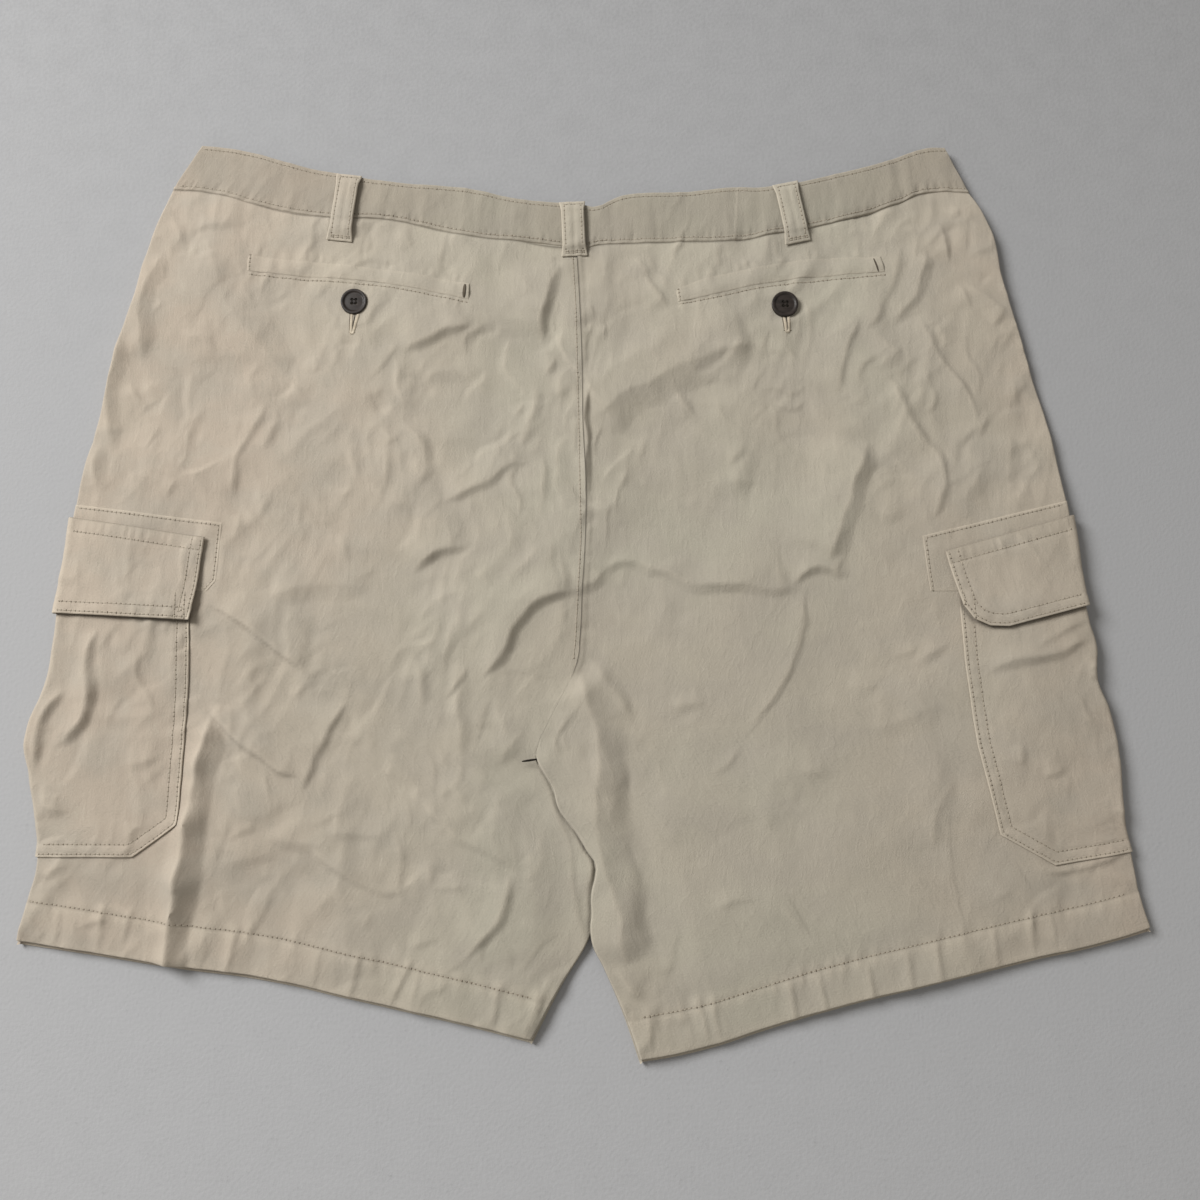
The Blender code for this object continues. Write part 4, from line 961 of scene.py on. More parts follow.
def shell_mesh(name, grid, cloth, wall, wear, shade):
    """A closed cloth wall over a grid of points, finely drawn outside and coarser inside."""
    if not facing_up(grid):
        grid, cloth, wall, wear, shade = (values[:, ::-1] for values in (grid, cloth, wall, wear, shade))
    rows, columns = grid.shape[:2]
    outward = np.cross(np.gradient(grid, axis=1), np.gradient(grid, axis=0))
    outward = outward / np.linalg.norm(outward, axis=2, keepdims=True)
    kept_rows, kept_columns = kept_places(rows), kept_places(columns)
    kept_at = np.ix_(kept_rows, kept_columns)
    inside = (grid - outward * wall[..., None])[kept_at]
    outer = np.arange(rows * columns).reshape(rows, columns)
    inner = rows * columns + np.arange(inside.shape[0] * inside.shape[1]).reshape(inside.shape[:2])
    quads = np.stack([outer[:-1, :-1], outer[:-1, 1:], outer[1:, 1:], outer[1:, :-1]], -1).reshape(-1, 4)
    backs = np.stack([inner[:-1, :-1], inner[1:, :-1], inner[1:, 1:], inner[:-1, 1:]], -1).reshape(-1, 4)
    faces = quads.tolist() + backs.tolist()
    borders = (
        (outer[0], inner[0], kept_columns),
        (outer[:, -1], inner[:, -1], kept_rows),
        (outer[-1, ::-1], inner[-1, ::-1], [columns - 1 - place for place in kept_columns[::-1]]),
        (outer[::-1, 0], inner[::-1, 0], [rows - 1 - place for place in kept_rows[::-1]]),
    )
    for edge, backing, kept in borders:
        for step, (first, last) in enumerate(zip(kept, kept[1:])):
            faces.append([*edge[first : last + 1][::-1].tolist(), int(backing[step]), int(backing[step + 1])])
    mesh = bpy.data.meshes.new(name)
    points = np.concatenate([grid.reshape(-1, 3), inside.reshape(-1, 3)])
    mesh.from_pydata(to_frame(points).tolist(), [], faces)
    threads = np.concatenate([cloth.reshape(-1, 2), cloth[kept_at].reshape(-1, 2)])
    lay_threads(mesh, mesh.uv_layers.new(name="UVMap"), threads)
    both = [np.concatenate([values.reshape(-1), values[kept_at].reshape(-1)]) for values in (wear, shade)]
    paint(mesh, wear=both[0], shade=both[1])
    made = bpy.data.objects.new(name, mesh)
    bpy.context.scene.collection.objects.link(made)
    make_active(made)
    bpy.ops.object.shade_smooth_by_angle(angle=SMOOTH_ANGLE)
    return made


def cut_of(cloth):
    """Width, length and area of the flat cloth under a grid, in metres."""
    across, down = np.diff(cloth, axis=1), np.diff(cloth, axis=0)
    width = np.linalg.norm(across, axis=2).sum(axis=1).max() * MM
    length = np.linalg.norm(down, axis=2).sum(axis=0).max() * MM
    cells = np.abs(across[:-1, :, 0] * down[:, :-1, 1] - across[:-1, :, 1] * down[:, :-1, 0])
    return (float(width), float(length)), float(cells.sum() * MM * MM)


def finish_cloth(made, node, cloth):
    """Gives a cloth piece its twill, attaches it to the body and hides the solid of its node; the size and
    area of its flat cut are worked out but not kept.
    """
    flat, area = cut_of(cloth)
    area = min(area, flat[0] * flat[1])
    made.data.materials.clear()
    made.data.materials.append(material_once("stone_twill", twill_finish))
    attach(made, BODY)
    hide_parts(node)


def dress(node, grid, cloth, wall, thin, wear, up=True, shade=None):
    """The cloth of a node, from its sheet to its finish; up is whether its outer face looks up."""
    turned = facing_up(grid) != up
    made = sheet_mesh(f"{node}_cloth", grid, cloth, up, wear, shade)
    give_wall(made, wall, thin[:, ::-1] if turned else thin)
    finish_cloth(made, node, cloth)
    return made


def cloth_of(grid):
    """Thread coordinates of a grid: distance along its rows, and Y down its middle column."""
    across = np.linalg.norm(np.diff(grid, axis=1), axis=2)
    across = np.concatenate([np.zeros((len(grid), 1)), np.cumsum(across, axis=1)], axis=1)
    down = lengths_along(grid[:, grid.shape[1] // 3])
    return np.stack([across, np.repeat(down[:, None], grid.shape[1], axis=1)], -1)


def threads_of(across, up):
    """Thread coordinates of a straight piece."""
    columns, rows = np.meshgrid(across, up)
    return np.stack([columns, rows], -1)


# Materials

class Value:
    """A number in a material. Python's arithmetic on it adds Math nodes."""

    def __init__(self, finish, socket):
        self.finish = finish
        self.socket = socket

    def __add__(self, other):
        return self.finish.math("ADD", self, other)

    def __sub__(self, other):
        return self.finish.math("SUBTRACT", self, other)

    def __rsub__(self, other):
        return self.finish.math("SUBTRACT", other, self)

    def __mul__(self, other):
        return self.finish.math("MULTIPLY", self, other)

    __radd__ = __add__
    __rmul__ = __mul__


class Finish:
    """A node material round one Principled BSDF."""

    def __init__(self, name):
        self.material = bpy.data.materials.new(name)
        self.material.use_nodes = True
        self.tree = self.material.node_tree
        self.shader = self.tree.nodes["Principled BSDF"]

    def put(self, socket, value):
        if isinstance(value, Value):
            value = value.socket
        if isinstance(value, bpy.types.NodeSocket):
            self.tree.links.new(value, socket)
        else:
            socket.default_value = value

    def surface(self, **inputs):
        """Sets inputs of the shader, by their names in lower case with _ for spaces."""
        for socket in self.shader.inputs:
            label = socket.name.lower().replace(" ", "_")
            if label in inputs:
                self.put(socket, inputs[label])

    def node(self, kind, settings, inputs):
        """Adds a node: its settings first, then the values or links of its sockets."""
        made = self.tree.nodes.new(kind)
        for name, value in settings.items():
            setattr(made, name, value)
        for name, value in inputs.items():
            self.put(made.inputs[name], value)
        return made

    def math(self, operation, *values):
        made = self.node("ShaderNodeMath", {"operation": operation}, dict(enumerate(values)))
        return Value(self, made.outputs[0])

    def mix(self, factor, first, second):
        """A colour between two."""
        settings = {"data_type": "RGBA", "clamp_factor": True}
        made = self.node("ShaderNodeMix", settings, {0: factor, 6: first, 7: second})
        return made.outputs[2]

    def noise(self, place, scale, detail, stretch=(1.0, 1.0, 1.0)):
        """Noise round 0.5, scale in hills a metre."""
        drawn_out = self.node("ShaderNodeVectorMath", {"operation": "MULTIPLY"}, {0: place, 1: stretch})
        inputs = {"Vector": drawn_out.outputs[0], "Scale": scale, "Detail": detail}
        made = self.node("ShaderNodeTexNoise", {"noise_dimensions": "3D"}, inputs)
        return Value(self, made.outputs[0])

    def between(self, low, high, value):
        """0 at low and 1 at high."""
        inputs = {"Value": value, "From Min": low, "From Max": high}
        made = self.node("ShaderNodeMapRange", {"clamp": True}, inputs)
        return Value(self, made.outputs[0])

    def attribute(self, name):
        made = self.node("ShaderNodeAttribute", {"attribute_name": name}, {})
        return Value(self, made.outputs["Fac"])

    def place(self):
        return self.node("ShaderNodeTexCoord", {}, {}).outputs["Object"]

    def threads(self):
        """The cloth's own thread directions, in metres."""
        return self.node("ShaderNodeUVMap", {"uv_map": "UVMap"}, {}).outputs["UV"]

    def part(self, vector, axis):
        """One coordinate of a place."""
        return Value(self, self.node("ShaderNodeSeparateXYZ", {}, {0: vector}).outputs[axis])

    def bump(self, height, distance, strength):
        inputs = {"Height": height, "Distance": distance, "Strength": strength}
        self.put(self.shader.inputs["Normal"], self.node("ShaderNodeBump", {}, inputs).outputs["Normal"])


def opaque(colour, share=1.0):
    return tuple(channel * share for channel in colour[:3]) + (1.0,)


def material_once(name, build):
    """The named material, built the first time it is asked for."""
    found = bpy.data.materials.get(name)
    return found if found else build(name)


MIDDLE_X = 0.06  # metres: the second tone grows with the distance from here
ALONG_WEFT = (1.0, 0.12, 1.0)  # how noise is drawn out
STAIN_STRETCH, CRINKLE_STRETCH = (1.0, 1.4, 1.0), (1.4, 0.8, 1.0)
PALER, DARKER = 1.22, 0.74  # shares of the cloth's colour
TWILL_BUMP, TWILL_BUMP_SHARE = 0.00026, 0.7


def twill_finish(name):
    """Washed cotton twill: fine diagonal wales, heathered yarn, soft blotches, paler where it has rubbed and
    with painted highlight on edges and crests, and darker with painted shade in crevices, seams and folds.
    """
    look = bpy.context.scene.shorts_cloth
    finish = Finish(name)
    place, threads = finish.place(), finish.threads()
    u, v = finish.part(threads, 0), finish.part(threads, 1)
    turns = math.tau / look.wale_pitch
    uneven = finish.noise(threads, 420.0, 2.0) * 7.0
    wale = finish.math("SINE", (u + v) * turns + uneven)
    yarn = finish.math("SINE", (u - 0.5 * v) * (2.0 * turns) + uneven)
    heather = finish.noise(threads, 900.0, 3.0)
    slub = finish.noise(threads, 500.0, 2.0, ALONG_WEFT)
    from_middle = finish.math("ABSOLUTE", finish.part(place, 0) - MIDDLE_X)
    cloud = finish.between(0.38, 0.62, finish.noise(place, 7.0, 2.0))
    blotch = cloud * 0.35 + finish.between(0.12, 0.3, from_middle) * 0.8
    nap = finish.noise(place, 60.0, 4.0)
    stain = finish.noise(place, 24.0, 3.0, STAIN_STRETCH)
    crinkle = finish.math("ABSOLUTE", finish.noise(place, 60.0, 2.0, CRINKLE_STRETCH) - 0.5)
    crinkle = finish.between(0.0, 0.07, crinkle)
    tone = heather * 0.5 + slub * 0.3 + nap * 0.35 + wale * 0.03
    colour = opaque(look.colour)
    for factor, over in (
        (blotch, opaque(look.second_colour)),
        (finish.between(0.42, 0.62, stain) * 0.5, opaque(look.stain_colour)),
        (finish.between(0.62, 0.80, tone) * 0.5, opaque(look.colour, PALER)),
        (finish.between(0.55, 0.36, tone) * 0.5, opaque(look.colour, DARKER)),
        # paler along edges and crests: rubbing, with painted highlight where they catch the light
        (finish.attribute("wear") * (heather + 0.3), opaque(look.rubbed_and_highlight_colour)),
        # painted shade in crevices, seams, hems, pressed folds and over the band
        (finish.attribute("shade"), opaque(look.shade_colour)),
    ):
        colour = finish.mix(factor, colour, over)
    finish.surface(base_color=colour, roughness=0.82 + heather * 0.16)
    finish.surface(sheen_weight=0.12, sheen_roughness=0.5, specular_ior_level=0.18)
    relief = wale * 0.2 + yarn * 0.08 + heather * 1.4 + slub * 0.8 - crinkle * 0.45
    finish.bump(relief, TWILL_BUMP, TWILL_BUMP_SHARE)
    return finish.material


def thread_finish(name, light=1.0):
    """Matt spun thread a shade off the cloth, darkened with painted shade where it goes through and on the
    needle holes.
    """
    look = bpy.context.scene.shorts_thread
    finish = Finish(name)
    place = finish.place()
    spun, fade = finish.noise(place, 2600.0, 2.0), finish.noise(place, 22.0, 2.0)
    base, faded = opaque(look.colour, light), opaque(look.colour, 0.86 * light)
    colour = finish.mix(finish.between(0.3, 0.7, fade), base, faded)
    colour = finish.mix(finish.between(0.35, 0.7, spun) * 0.4, colour, opaque(look.colour, 1.2 * light))
    colour = finish.mix(finish.attribute("shade"), colour, opaque(look.hole_shade_colour))
    finish.surface(base_color=colour, roughness=0.7 + spun * 0.2, sheen_weight=0.1, specular_ior_level=0.25)
    finish.bump(spun, 0.0001, 0.6)
    return finish.material


THREAD_HIGHLIGHT = 1.4


def highlit_thread_finish(name):
    """A paler copy of the thread: painted highlight where it lies close and catches more light."""
    return thread_finish(name, THREAD_HIGHLIGHT)


def resin_finish(name):
    """Dark brown moulded resin with faint darker clouds and a polished rim."""
    look = bpy.context.scene.shorts_buttons
    finish = Finish(name)
    place = finish.place()
    cloud = finish.between(0.35, 0.7, finish.noise(place, 170.0, 3.0, (1.0, 2.2, 1.0)))
    scuff = finish.noise(place, 900.0, 3.0, (1.0, 4.0, 1.0))
    colour = finish.mix(cloud, opaque(look.colour, 0.75), opaque(look.cloud_colour))
    finish.surface(base_color=colour, roughness=0.38 + scuff * 0.22)
    finish.surface(coat_weight=0.04, specular_ior_level=0.28)
    finish.bump(scuff, 0.00005, 0.5)
    return finish.material


def dark_and_shade_finish(name):
    """Dark waxed thread in the buttons, and painted shade inside openings; shade 1 gives the full dark colour,
    less gives the paler brown of the needle holes.
    """
    look = bpy.context.scene.shorts_thread
    finish = Finish(name)
    spun = finish.noise(finish.place(), 1500.0, 2.0)
    colour = finish.mix(spun, opaque(look.dark, 0.6), opaque(look.dark, 1.5))
    colour = finish.mix(finish.attribute("shade"), opaque(look.hole_shade_colour), colour)
    finish.surface(base_color=colour, roughness=0.9, specular_ior_level=0.2)
    return finish.material


# Panels

ROUND_STEPS = 7
EDGE = (0.0, 0.25, 0.6, 1.1)  # mm from a cut or folded edge: where its rounding is drawn
EDGE_ROUND = 1.1
TUCKED_UNDER = ((3.0, 1.1), (1.5, 0.7))  # how far up and down the panels' top rows lie under the waistband
WAIST_ROWS = (0.0, 0.5, 1.0, 1.6, 2.4, 3.5)  # mm below the waistband's edge
FIRST_ROW = 5.0
BACK_PITCH = (1.5, 1.62)  # mm across and down
FRONT_PITCH = (6.0, 6.0)
FINE_TO = 12.0
BACK_FINE, FRONT_FINE = 1.2, 3.0  # mm between columns beside the inner edge
AT_SEAM = 0.99  # from this share of the drop on, a layer lies at the seam
THIN_SHARE = 0.6  # of a wall goes at its rounded edge
HEM_ROUNDED = 0.9  # share of the hem's wall
FRONT_SOFT, FRONT_SOFT_SIZE, FRONT_SOFT_SEED = 0.25, 45.0, 71
# Paler tone at the hem's edge and round its stitching: rubbing, with painted highlight
HEM_WEAR_AND_HIGHLIGHT, HEM_WEAR_AND_HIGHLIGHT_REACH = 0.6, 1.8
ROW_WEAR_AND_HIGHLIGHT, ROW_WEAR_AND_HIGHLIGHT_AT, ROW_WEAR_AND_HIGHLIGHT_REACH = 0.25, HEM_STITCHING - 2.0, 5.0


def round_places(fold):
    """Distances from an edge that the cloth turns round, from the edge to the flat, and the drop at each."""
    turn = np.linspace(0.0, math.pi / 2.0, ROUND_STEPS)
    return fold * (1.0 - np.cos(turn)), 1.0 - np.sin(turn)


def edge_drop(distance, reach=EDGE_ROUND):
    """The rounding of a folded edge: 1 at the edge, 0 from reach inwards."""
    share = np.clip(1.0 - distance / reach, 0.0, 1.0)
    return 1.0 - np.sqrt(1.0 - share**2)


def panel_places(width, count, fine_step):
    inner, _ = round_places(INSEAM_FOLD)
    side, _ = round_places(SIDE_FOLD)
    fine = np.arange(INSEAM_FOLD + fine_step, FINE_TO, fine_step)
    middle = np.linspace(FINE_TO, width - SIDE_FOLD, count)[:-1]
    return np.concatenate([inner, fine, middle, width - side[::-1]]) / width


def panel_grid(leg, front, pitch):
    """Outer face of one layer of a leg, row by row, with its thread coordinates, paler tone (rubbing and
    painted highlight) and wall shares.
    """
    length = leg.inner[0].y - leg.inner[-1].y
    middle_rows = np.linspace(FIRST_ROW, length - EDGE_ROUND, int(length / pitch[1]))
    down = np.concatenate([WAIST_ROWS, middle_rows, [length - edge for edge in EDGE[-2::-1]]]) / length
    ends = [plan(leg, np.full(len(down), edge), down) for edge in (0.0, 1.0)]
    width = np.hypot(*(ends[1] - ends[0]).T)
    count = int(width.mean() / pitch[0])
    across = np.array([panel_places(one, count, FRONT_FINE if front else BACK_FINE) for one in width])
    xy = plan(leg, across, np.repeat(down[:, None], across.shape[1], axis=1))
    run = np.repeat(-down[:, None] * length, across.shape[1], axis=1)
    flat = np.stack([across * width[:, None], run], -1)
    if front:
        xy[..., 1] -= front_dip(xy[..., 0]) * (1.0 - down[:, None]) ** 3
        xy[..., 1] -= HEM_PEEK * smooth(*HEM_PEEKS, down)[:, None]
    top, floor = back_height(leg, xy[..., 0], xy[..., 1]), floor_lift(leg, xy[..., 0], xy[..., 1])
    drop = np.zeros(across.shape)
    _, turned = round_places(1.0)
    drop[:, :ROUND_STEPS] = turned * smooth(CLOSED_TO, OPEN_FROM, xy[:, :1, 1])
    drop[:, -ROUND_STEPS:] = turned[::-1]
    half = (top - floor) / 2.0
    half[:, :ROUND_STEPS] = half[:, ROUND_STEPS - 1 : ROUND_STEPS]
    half[:, -ROUND_STEPS:] = half[:, -ROUND_STEPS : 1 - ROUND_STEPS]
    to_hem = (1.0 - down[:, None]) * length
    rounded = HEM_ROUNDED * HEM_WALL * edge_drop(to_hem)
    seam_gap = 0.5 * SEAM_GAP * (drop > AT_SEAM)
    if front:
        soft = noise(xy[..., 0], xy[..., 1], FRONT_SOFT_SIZE, FRONT_SOFT_SEED)
        soft = FRONT_SOFT * np.clip(soft, 0.0, 1.0)
        height = floor + half * drop + soft * (1.0 - drop) - seam_gap + 0.5 * rounded
    else:
        height = top - half * drop + seam_gap - rounded
    grid = stacked(xy, height)
    hem = smooth(HEM_STITCHING + 3.0, HEM_STITCHING - 3.0, to_hem + 0.0 * across)
    wall = WALL + (HEM_WALL - WALL) * hem
    thin = wall / HEM_WALL * (1.0 - THIN_SHARE * edge_drop(to_hem))
    wear = HEM_WEAR_AND_HIGHLIGHT * np.exp(-to_hem / HEM_WEAR_AND_HIGHLIGHT_REACH)
    wear = wear + ROW_WEAR_AND_HIGHLIGHT * bell(to_hem - ROW_WEAR_AND_HIGHLIGHT_AT, ROW_WEAR_AND_HIGHLIGHT_REACH) + 0.0 * across
    if not front:
        under = [grid[0] + np.array([0.0, up, -deep]) for up, deep in TUCKED_UNDER]
        grid = np.concatenate([np.array(under), grid])
        flat = np.concatenate([np.array([flat[0] + np.array([0.0, up]) for up, _ in TUCKED_UNDER]), flat])
        thin = np.concatenate([thin[:1], thin[:1], thin])
        wear = np.concatenate([wear[:1], wear[:1], wear])
    return grid, flat, wear, thin


CREST_REACH, CREST_WEAR_AND_HIGHLIGHT, SHARPEST = 2, 0.25, 0.8  # a crest stands over the places two columns away


def fold_crests(grid, wear):
    """Adds a little to the paler tone where the cloth stands up in a crest: rubbing and painted highlight."""
    height = grid[..., 2]
    bent = np.zeros_like(height)
    left, right = height[:, : -2 * CREST_REACH], height[:, 2 * CREST_REACH :]
    middle = (slice(None), slice(CREST_REACH, -CREST_REACH))
    bent[middle] = 2.0 * height[middle] - left - right
    return np.clip(wear + CREST_WEAR_AND_HIGHLIGHT * np.clip(bent, 0.0, SHARPEST), 0.0, 1.0)


# Where little light gets in: how dark, and how far it reaches to each side
Shade = namedtuple("Shade", "depth reach")
PAINTED_FOLD_SHADE = {  # painted shade: a thin dark line along each fold of each leg that was pressed sharp
    "left": (
        ((-252, -19), (-233, -27), (-215, -39), (-196, -54), (-176, -67)),
        ((-245, -86), (-225, -107), (-204, -122), (-187, -131.7), (-176, -132)),
    ),
    "right": (
        ((126.1, -199.7), (137.5, -217.5), (148.1, -237.4)),
        ((235, -147.3), (235.7, -184.3), (241.9, -227.1)),
        ((274.5, -183), (287.1, -206.5)),
        ((149, -9.4), (140.6, -50.3), (134.9, -69.9), (121.4, -90), (101.6, -111.9)),
    ),
}
PAINTED_FOLD_SHADE_LINE, PAINTED_FOLD_SHADE_ENDS = Shade(0.17, 0.8), 14.0
WAIST_SHADE, HEM_SHADE, CENTRE_SHADE = Shade(0.55, 0.6), Shade(0.2, 1.3), Shade(0.8, 0.9)
LAPPED_SHADE, CREVICE_AT, CREVICE_REACH, CREVICE_EASE = 0.35, -0.4, 1.3, 4.0
CREVICE_DEEPER = ((0.45, -180.0, 14.0), (0.3, -222.0, 12.0))  # depth, Y and reach
PARTING, PARTING_DEPTH, PARTING_REACH = Point(-31.5, -125.0), 0.3, (3.6, 1.7)
EDGE_COLUMNS, EDGE_SHADE = 3, 0.6  # on the inner edge of the leg that laps over


def shaded(kind, off):
    return kind.depth * bell(off, kind.reach)


def deep_shade(leg, grid):
    """Painted shade: dark lines below the waistband, along the hem's stitching, at the centre seam, by the leg
    that laps over and in pressed folds, and a soft patch where the legs part.
    """
    x, y = grid[..., 0], grid[..., 1]
    shade = shaded(WAIST_SHADE, waist_seam(x) - y)
    shade = shade + shaded(HEM_SHADE, y - along_x(leg.hem, x) - HEM_STITCHING)
    if leg.sign > 0:
        off, _, _ = beside(spaced(CENTRE_SEAM, PATH_PITCH), x, y)
        shade = shade + shaded(CENTRE_SHADE, off) * smooth(SEAM_FADES, SEAM_SHOWS, y)
        shade[:, :EDGE_COLUMNS] += EDGE_SHADE * smooth(CLOSED_TO, OPEN_FROM, y[:, :EDGE_COLUMNS])
    else:
        off = x - along_y(INSEAM_RIGHT, y)
        crevice = LAPPED_SHADE + sum(depth * bell(y - place, reach) for depth, place, reach in CREVICE_DEEPER)
        inside = smooth(OPEN_FROM + CREVICE_EASE, OPEN_FROM - CREVICE_EASE, y)
        shade = shade + crevice * bell(off - CREVICE_AT, CREVICE_REACH) * inside
        parting = bell(x - PARTING.x, PARTING_REACH[0]) * bell(y - PARTING.y, PARTING_REACH[1])
        shade = shade + PARTING_DEPTH * parting
    for fold in PAINTED_FOLD_SHADE[leg.name]:
        off, along, length = beside(spaced(fold, PATH_PITCH), x, y)
        ends = smooth(0.0, PAINTED_FOLD_SHADE_ENDS, along) * smooth(length, length - PAINTED_FOLD_SHADE_ENDS, along)
        shade = shade + ends * shaded(PAINTED_FOLD_SHADE_LINE, off)
    return np.clip(shade, 0.0, 1.0)


def make_panel(leg, front):
    name = f"{'front' if front else 'back'}_panel_{leg.name}"
    grid, cloth, wear, thin = panel_grid(leg, front, FRONT_PITCH if front else BACK_PITCH)
    if front:
        dress(name, grid, cloth, HEM_WALL, thin, wear, up=False)
        return
    # paler tone (rubbing and painted highlight), and painted shade
    worn, shade = fold_crests(grid, wear), deep_shade(leg, grid)
    made = shell_mesh(f"{name}_cloth", grid, cloth, thin * HEM_WALL, worn, shade)
    finish_cloth(made, name, cloth)


# Pieces that wrap round a side

WRAP_PITCH = (1.45, 1.45)
UNDER_PITCH = 4.5
DOUBLE_ROWS = (2.0, 8.0)  # the two stitched lines inside a pocket's or a flap's edge
FLAP_STRIP = 9.0  # from the flap's upper edge to its stitching
FINE_EDGE = (0.0, 0.3, 0.7, 1.2)
LOWEST = 0.15  # mm: nothing of a wrapping piece's outside lies lower
WRAP_LEAST = 0.05  # mm: nor does anything of its wall lie lower than this
FOLD_SHADE = Shade(0.5, 0.9)  # along a flap's upper edge, where it turns under
GAP_SHADE = Shade(0.6, 1.7)  # on the pocket, in the gap under the flap's free edge
WRAP_ROUNDED = 0.55  # share of its wall
# Paler tone along the edges of a wrapping piece: rubbing, with painted highlight where they catch the light
WRAP_WEAR_AND_HIGHLIGHT = ((0.55, 1.2), (0.08, 9.0))  # depth and reach, from the edge inwards


def with_edges(length, pitch):
    """Places along a length, close together at both ends where an edge is rounded."""
    reach = FINE_EDGE[-1]
    middle = np.linspace(reach, length - reach, max(2, int((length - 2.0 * reach) / pitch)))
    return np.concatenate([FINE_EDGE[:-1], middle, [length - place for place in FINE_EDGE[-2::-1]]])


def wrap_rows(leg, wrap, pitch):
    """Inner and side ends of each row of a wrapping piece, and the distance along its inner edge."""
    path = np.array(wrap.inner, float)
    known = lengths_along(path)
    along = with_edges(known[-1], pitch)
    inner = np.stack([np.interp(along, known, column) for column in path.T], -1)
    share = (inner[:, 1] - path[0, 1]) / (path[-1, 1] - path[0, 1])
    side_y = wrap.side_top + share * (wrap.side_bottom - wrap.side_top)
    return inner, np.stack([along_y(leg.side, side_y), side_y], -1), along


def wrap_grid(leg, wrap, out_at):
    """A sheet from a piece's inner edge to the side and back below, lifted off the cloth by out_at."""
    inner, side, _ = wrap_rows(leg, wrap, WRAP_PITCH[1])
    run = side - inner
    width = np.linalg.norm(run, axis=1)
    count = len(width)
    toward = run / width[:, None]
    columns = int(width.mean() / WRAP_PITCH[0])
    middle = np.linspace(np.full(count, FINE_EDGE[-1]), width - SIDE_FOLD, columns, axis=1)
    flat_part = np.concatenate([np.tile(FINE_EDGE[:-1], (count, 1)), middle], axis=1)
    xy = inner[:, None] + toward[:, None] * flat_part[..., None]
    top = back_height(leg, xy[..., 0], xy[..., 1])
    over = stacked(xy, top + out_at(xy[..., 0], xy[..., 1], 1.0))
    centre = xy[:, -1]
    floor = floor_lift(leg, centre[:, 0], centre[:, 1])
    half, level = (top[:, -1] - floor) / 2.0, (top[:, -1] + floor) / 2.0
    around = []
    for angle in np.linspace(0.0, math.pi, 2 * ROUND_STEPS + 1)[1:]:
        out = out_at(centre[:, 0], centre[:, 1], max(0.0, math.cos(angle)))
        place = centre + toward * ((SIDE_FOLD + out) * math.sin(angle))[:, None]
        around.append(np.column_stack([place, np.maximum(level + (half + out) * math.cos(angle), LOWEST)]))
    below_part = flat_part[:, ::-1][:, :: max(1, int(UNDER_PITCH / WRAP_PITCH[0]))][:, 1:]
    below_part = np.concatenate([below_part, np.tile(FINE_EDGE[2::-1], (count, 1))], axis=1)
    below = inner[:, None] + toward[:, None] * below_part[..., None]
    lift = floor_lift(leg, below[..., 0], below[..., 1]) - out_at(below[..., 0], below[..., 1], 0.0)
    under = stacked(below, np.maximum(lift, LOWEST))
    return np.concatenate([over, np.stack(around, axis=1), under], axis=1)


def wrap_edges(grid):
    """Distance of each point from the nearest of the piece's four edges, along the cloth."""
    nearest = []
    for axis in (0, 1):
        steps = np.cumsum(np.linalg.norm(np.diff(grid, axis=axis), axis=2), axis=axis)
        along = np.concatenate([np.zeros_like(np.take(steps, [0], axis)), steps], axis=axis)
        nearest.append(np.minimum(along, np.take(along, [-1], axis) - along))
    return np.minimum(*nearest)


def edge_path(leg, wrap):
    """Inner edge and lower edge of a wrapping piece, as one path."""
    low = wrap.side_bottom
    return tuple(wrap.inner) + ((float(along_y(leg.side, low)), low),)


def top_edge(leg, wrap):
    """Upper edge of a wrapping piece."""
    return tuple(wrap.inner[0]), (float(along_y(leg.side, wrap.side_top)), wrap.side_top)


def wrap_shade(name, leg, grid):
    flap = FLAPS[leg.name]
    if name == "pocket_flap":
        return shaded(FOLD_SHADE, beside(top_edge(leg, flap), grid[..., 0], grid[..., 1])[0])
    if name == "cargo_pocket":
        return shaded(GAP_SHADE, beside(edge_path(leg, flap), grid[..., 0], grid[..., 1])[0])
    return None


def make_wrapped(name, leg, wrap, out_at, wall):
    grid = wrap_grid(leg, wrap, out_at)
    shade = wrap_shade(name, leg, grid)
    edge = wrap_edges(grid)
    drop = edge_drop(edge, FINE_EDGE[-1])
    up = np.gradient(grid[..., 0], axis=1) * leg.sign
    grid[..., 2] -= WRAP_ROUNDED * wall * drop * np.where(up > 0.0, 1.0, -1.0)
    grid[..., 2] = np.maximum(grid[..., 2], LOWEST)
    wear = np.clip(sum(depth * np.exp(-edge / reach) for depth, reach in WRAP_WEAR_AND_HIGHLIGHT), 0.0, 1.0)
    node = f"{name}_{leg.name}"
    thin = 1.0 - THIN_SHARE * drop
    made = dress(node, grid, cloth_of(grid), wall, thin, fold_crests(grid, wear), shade=shade)
    hold_above_floor(made)


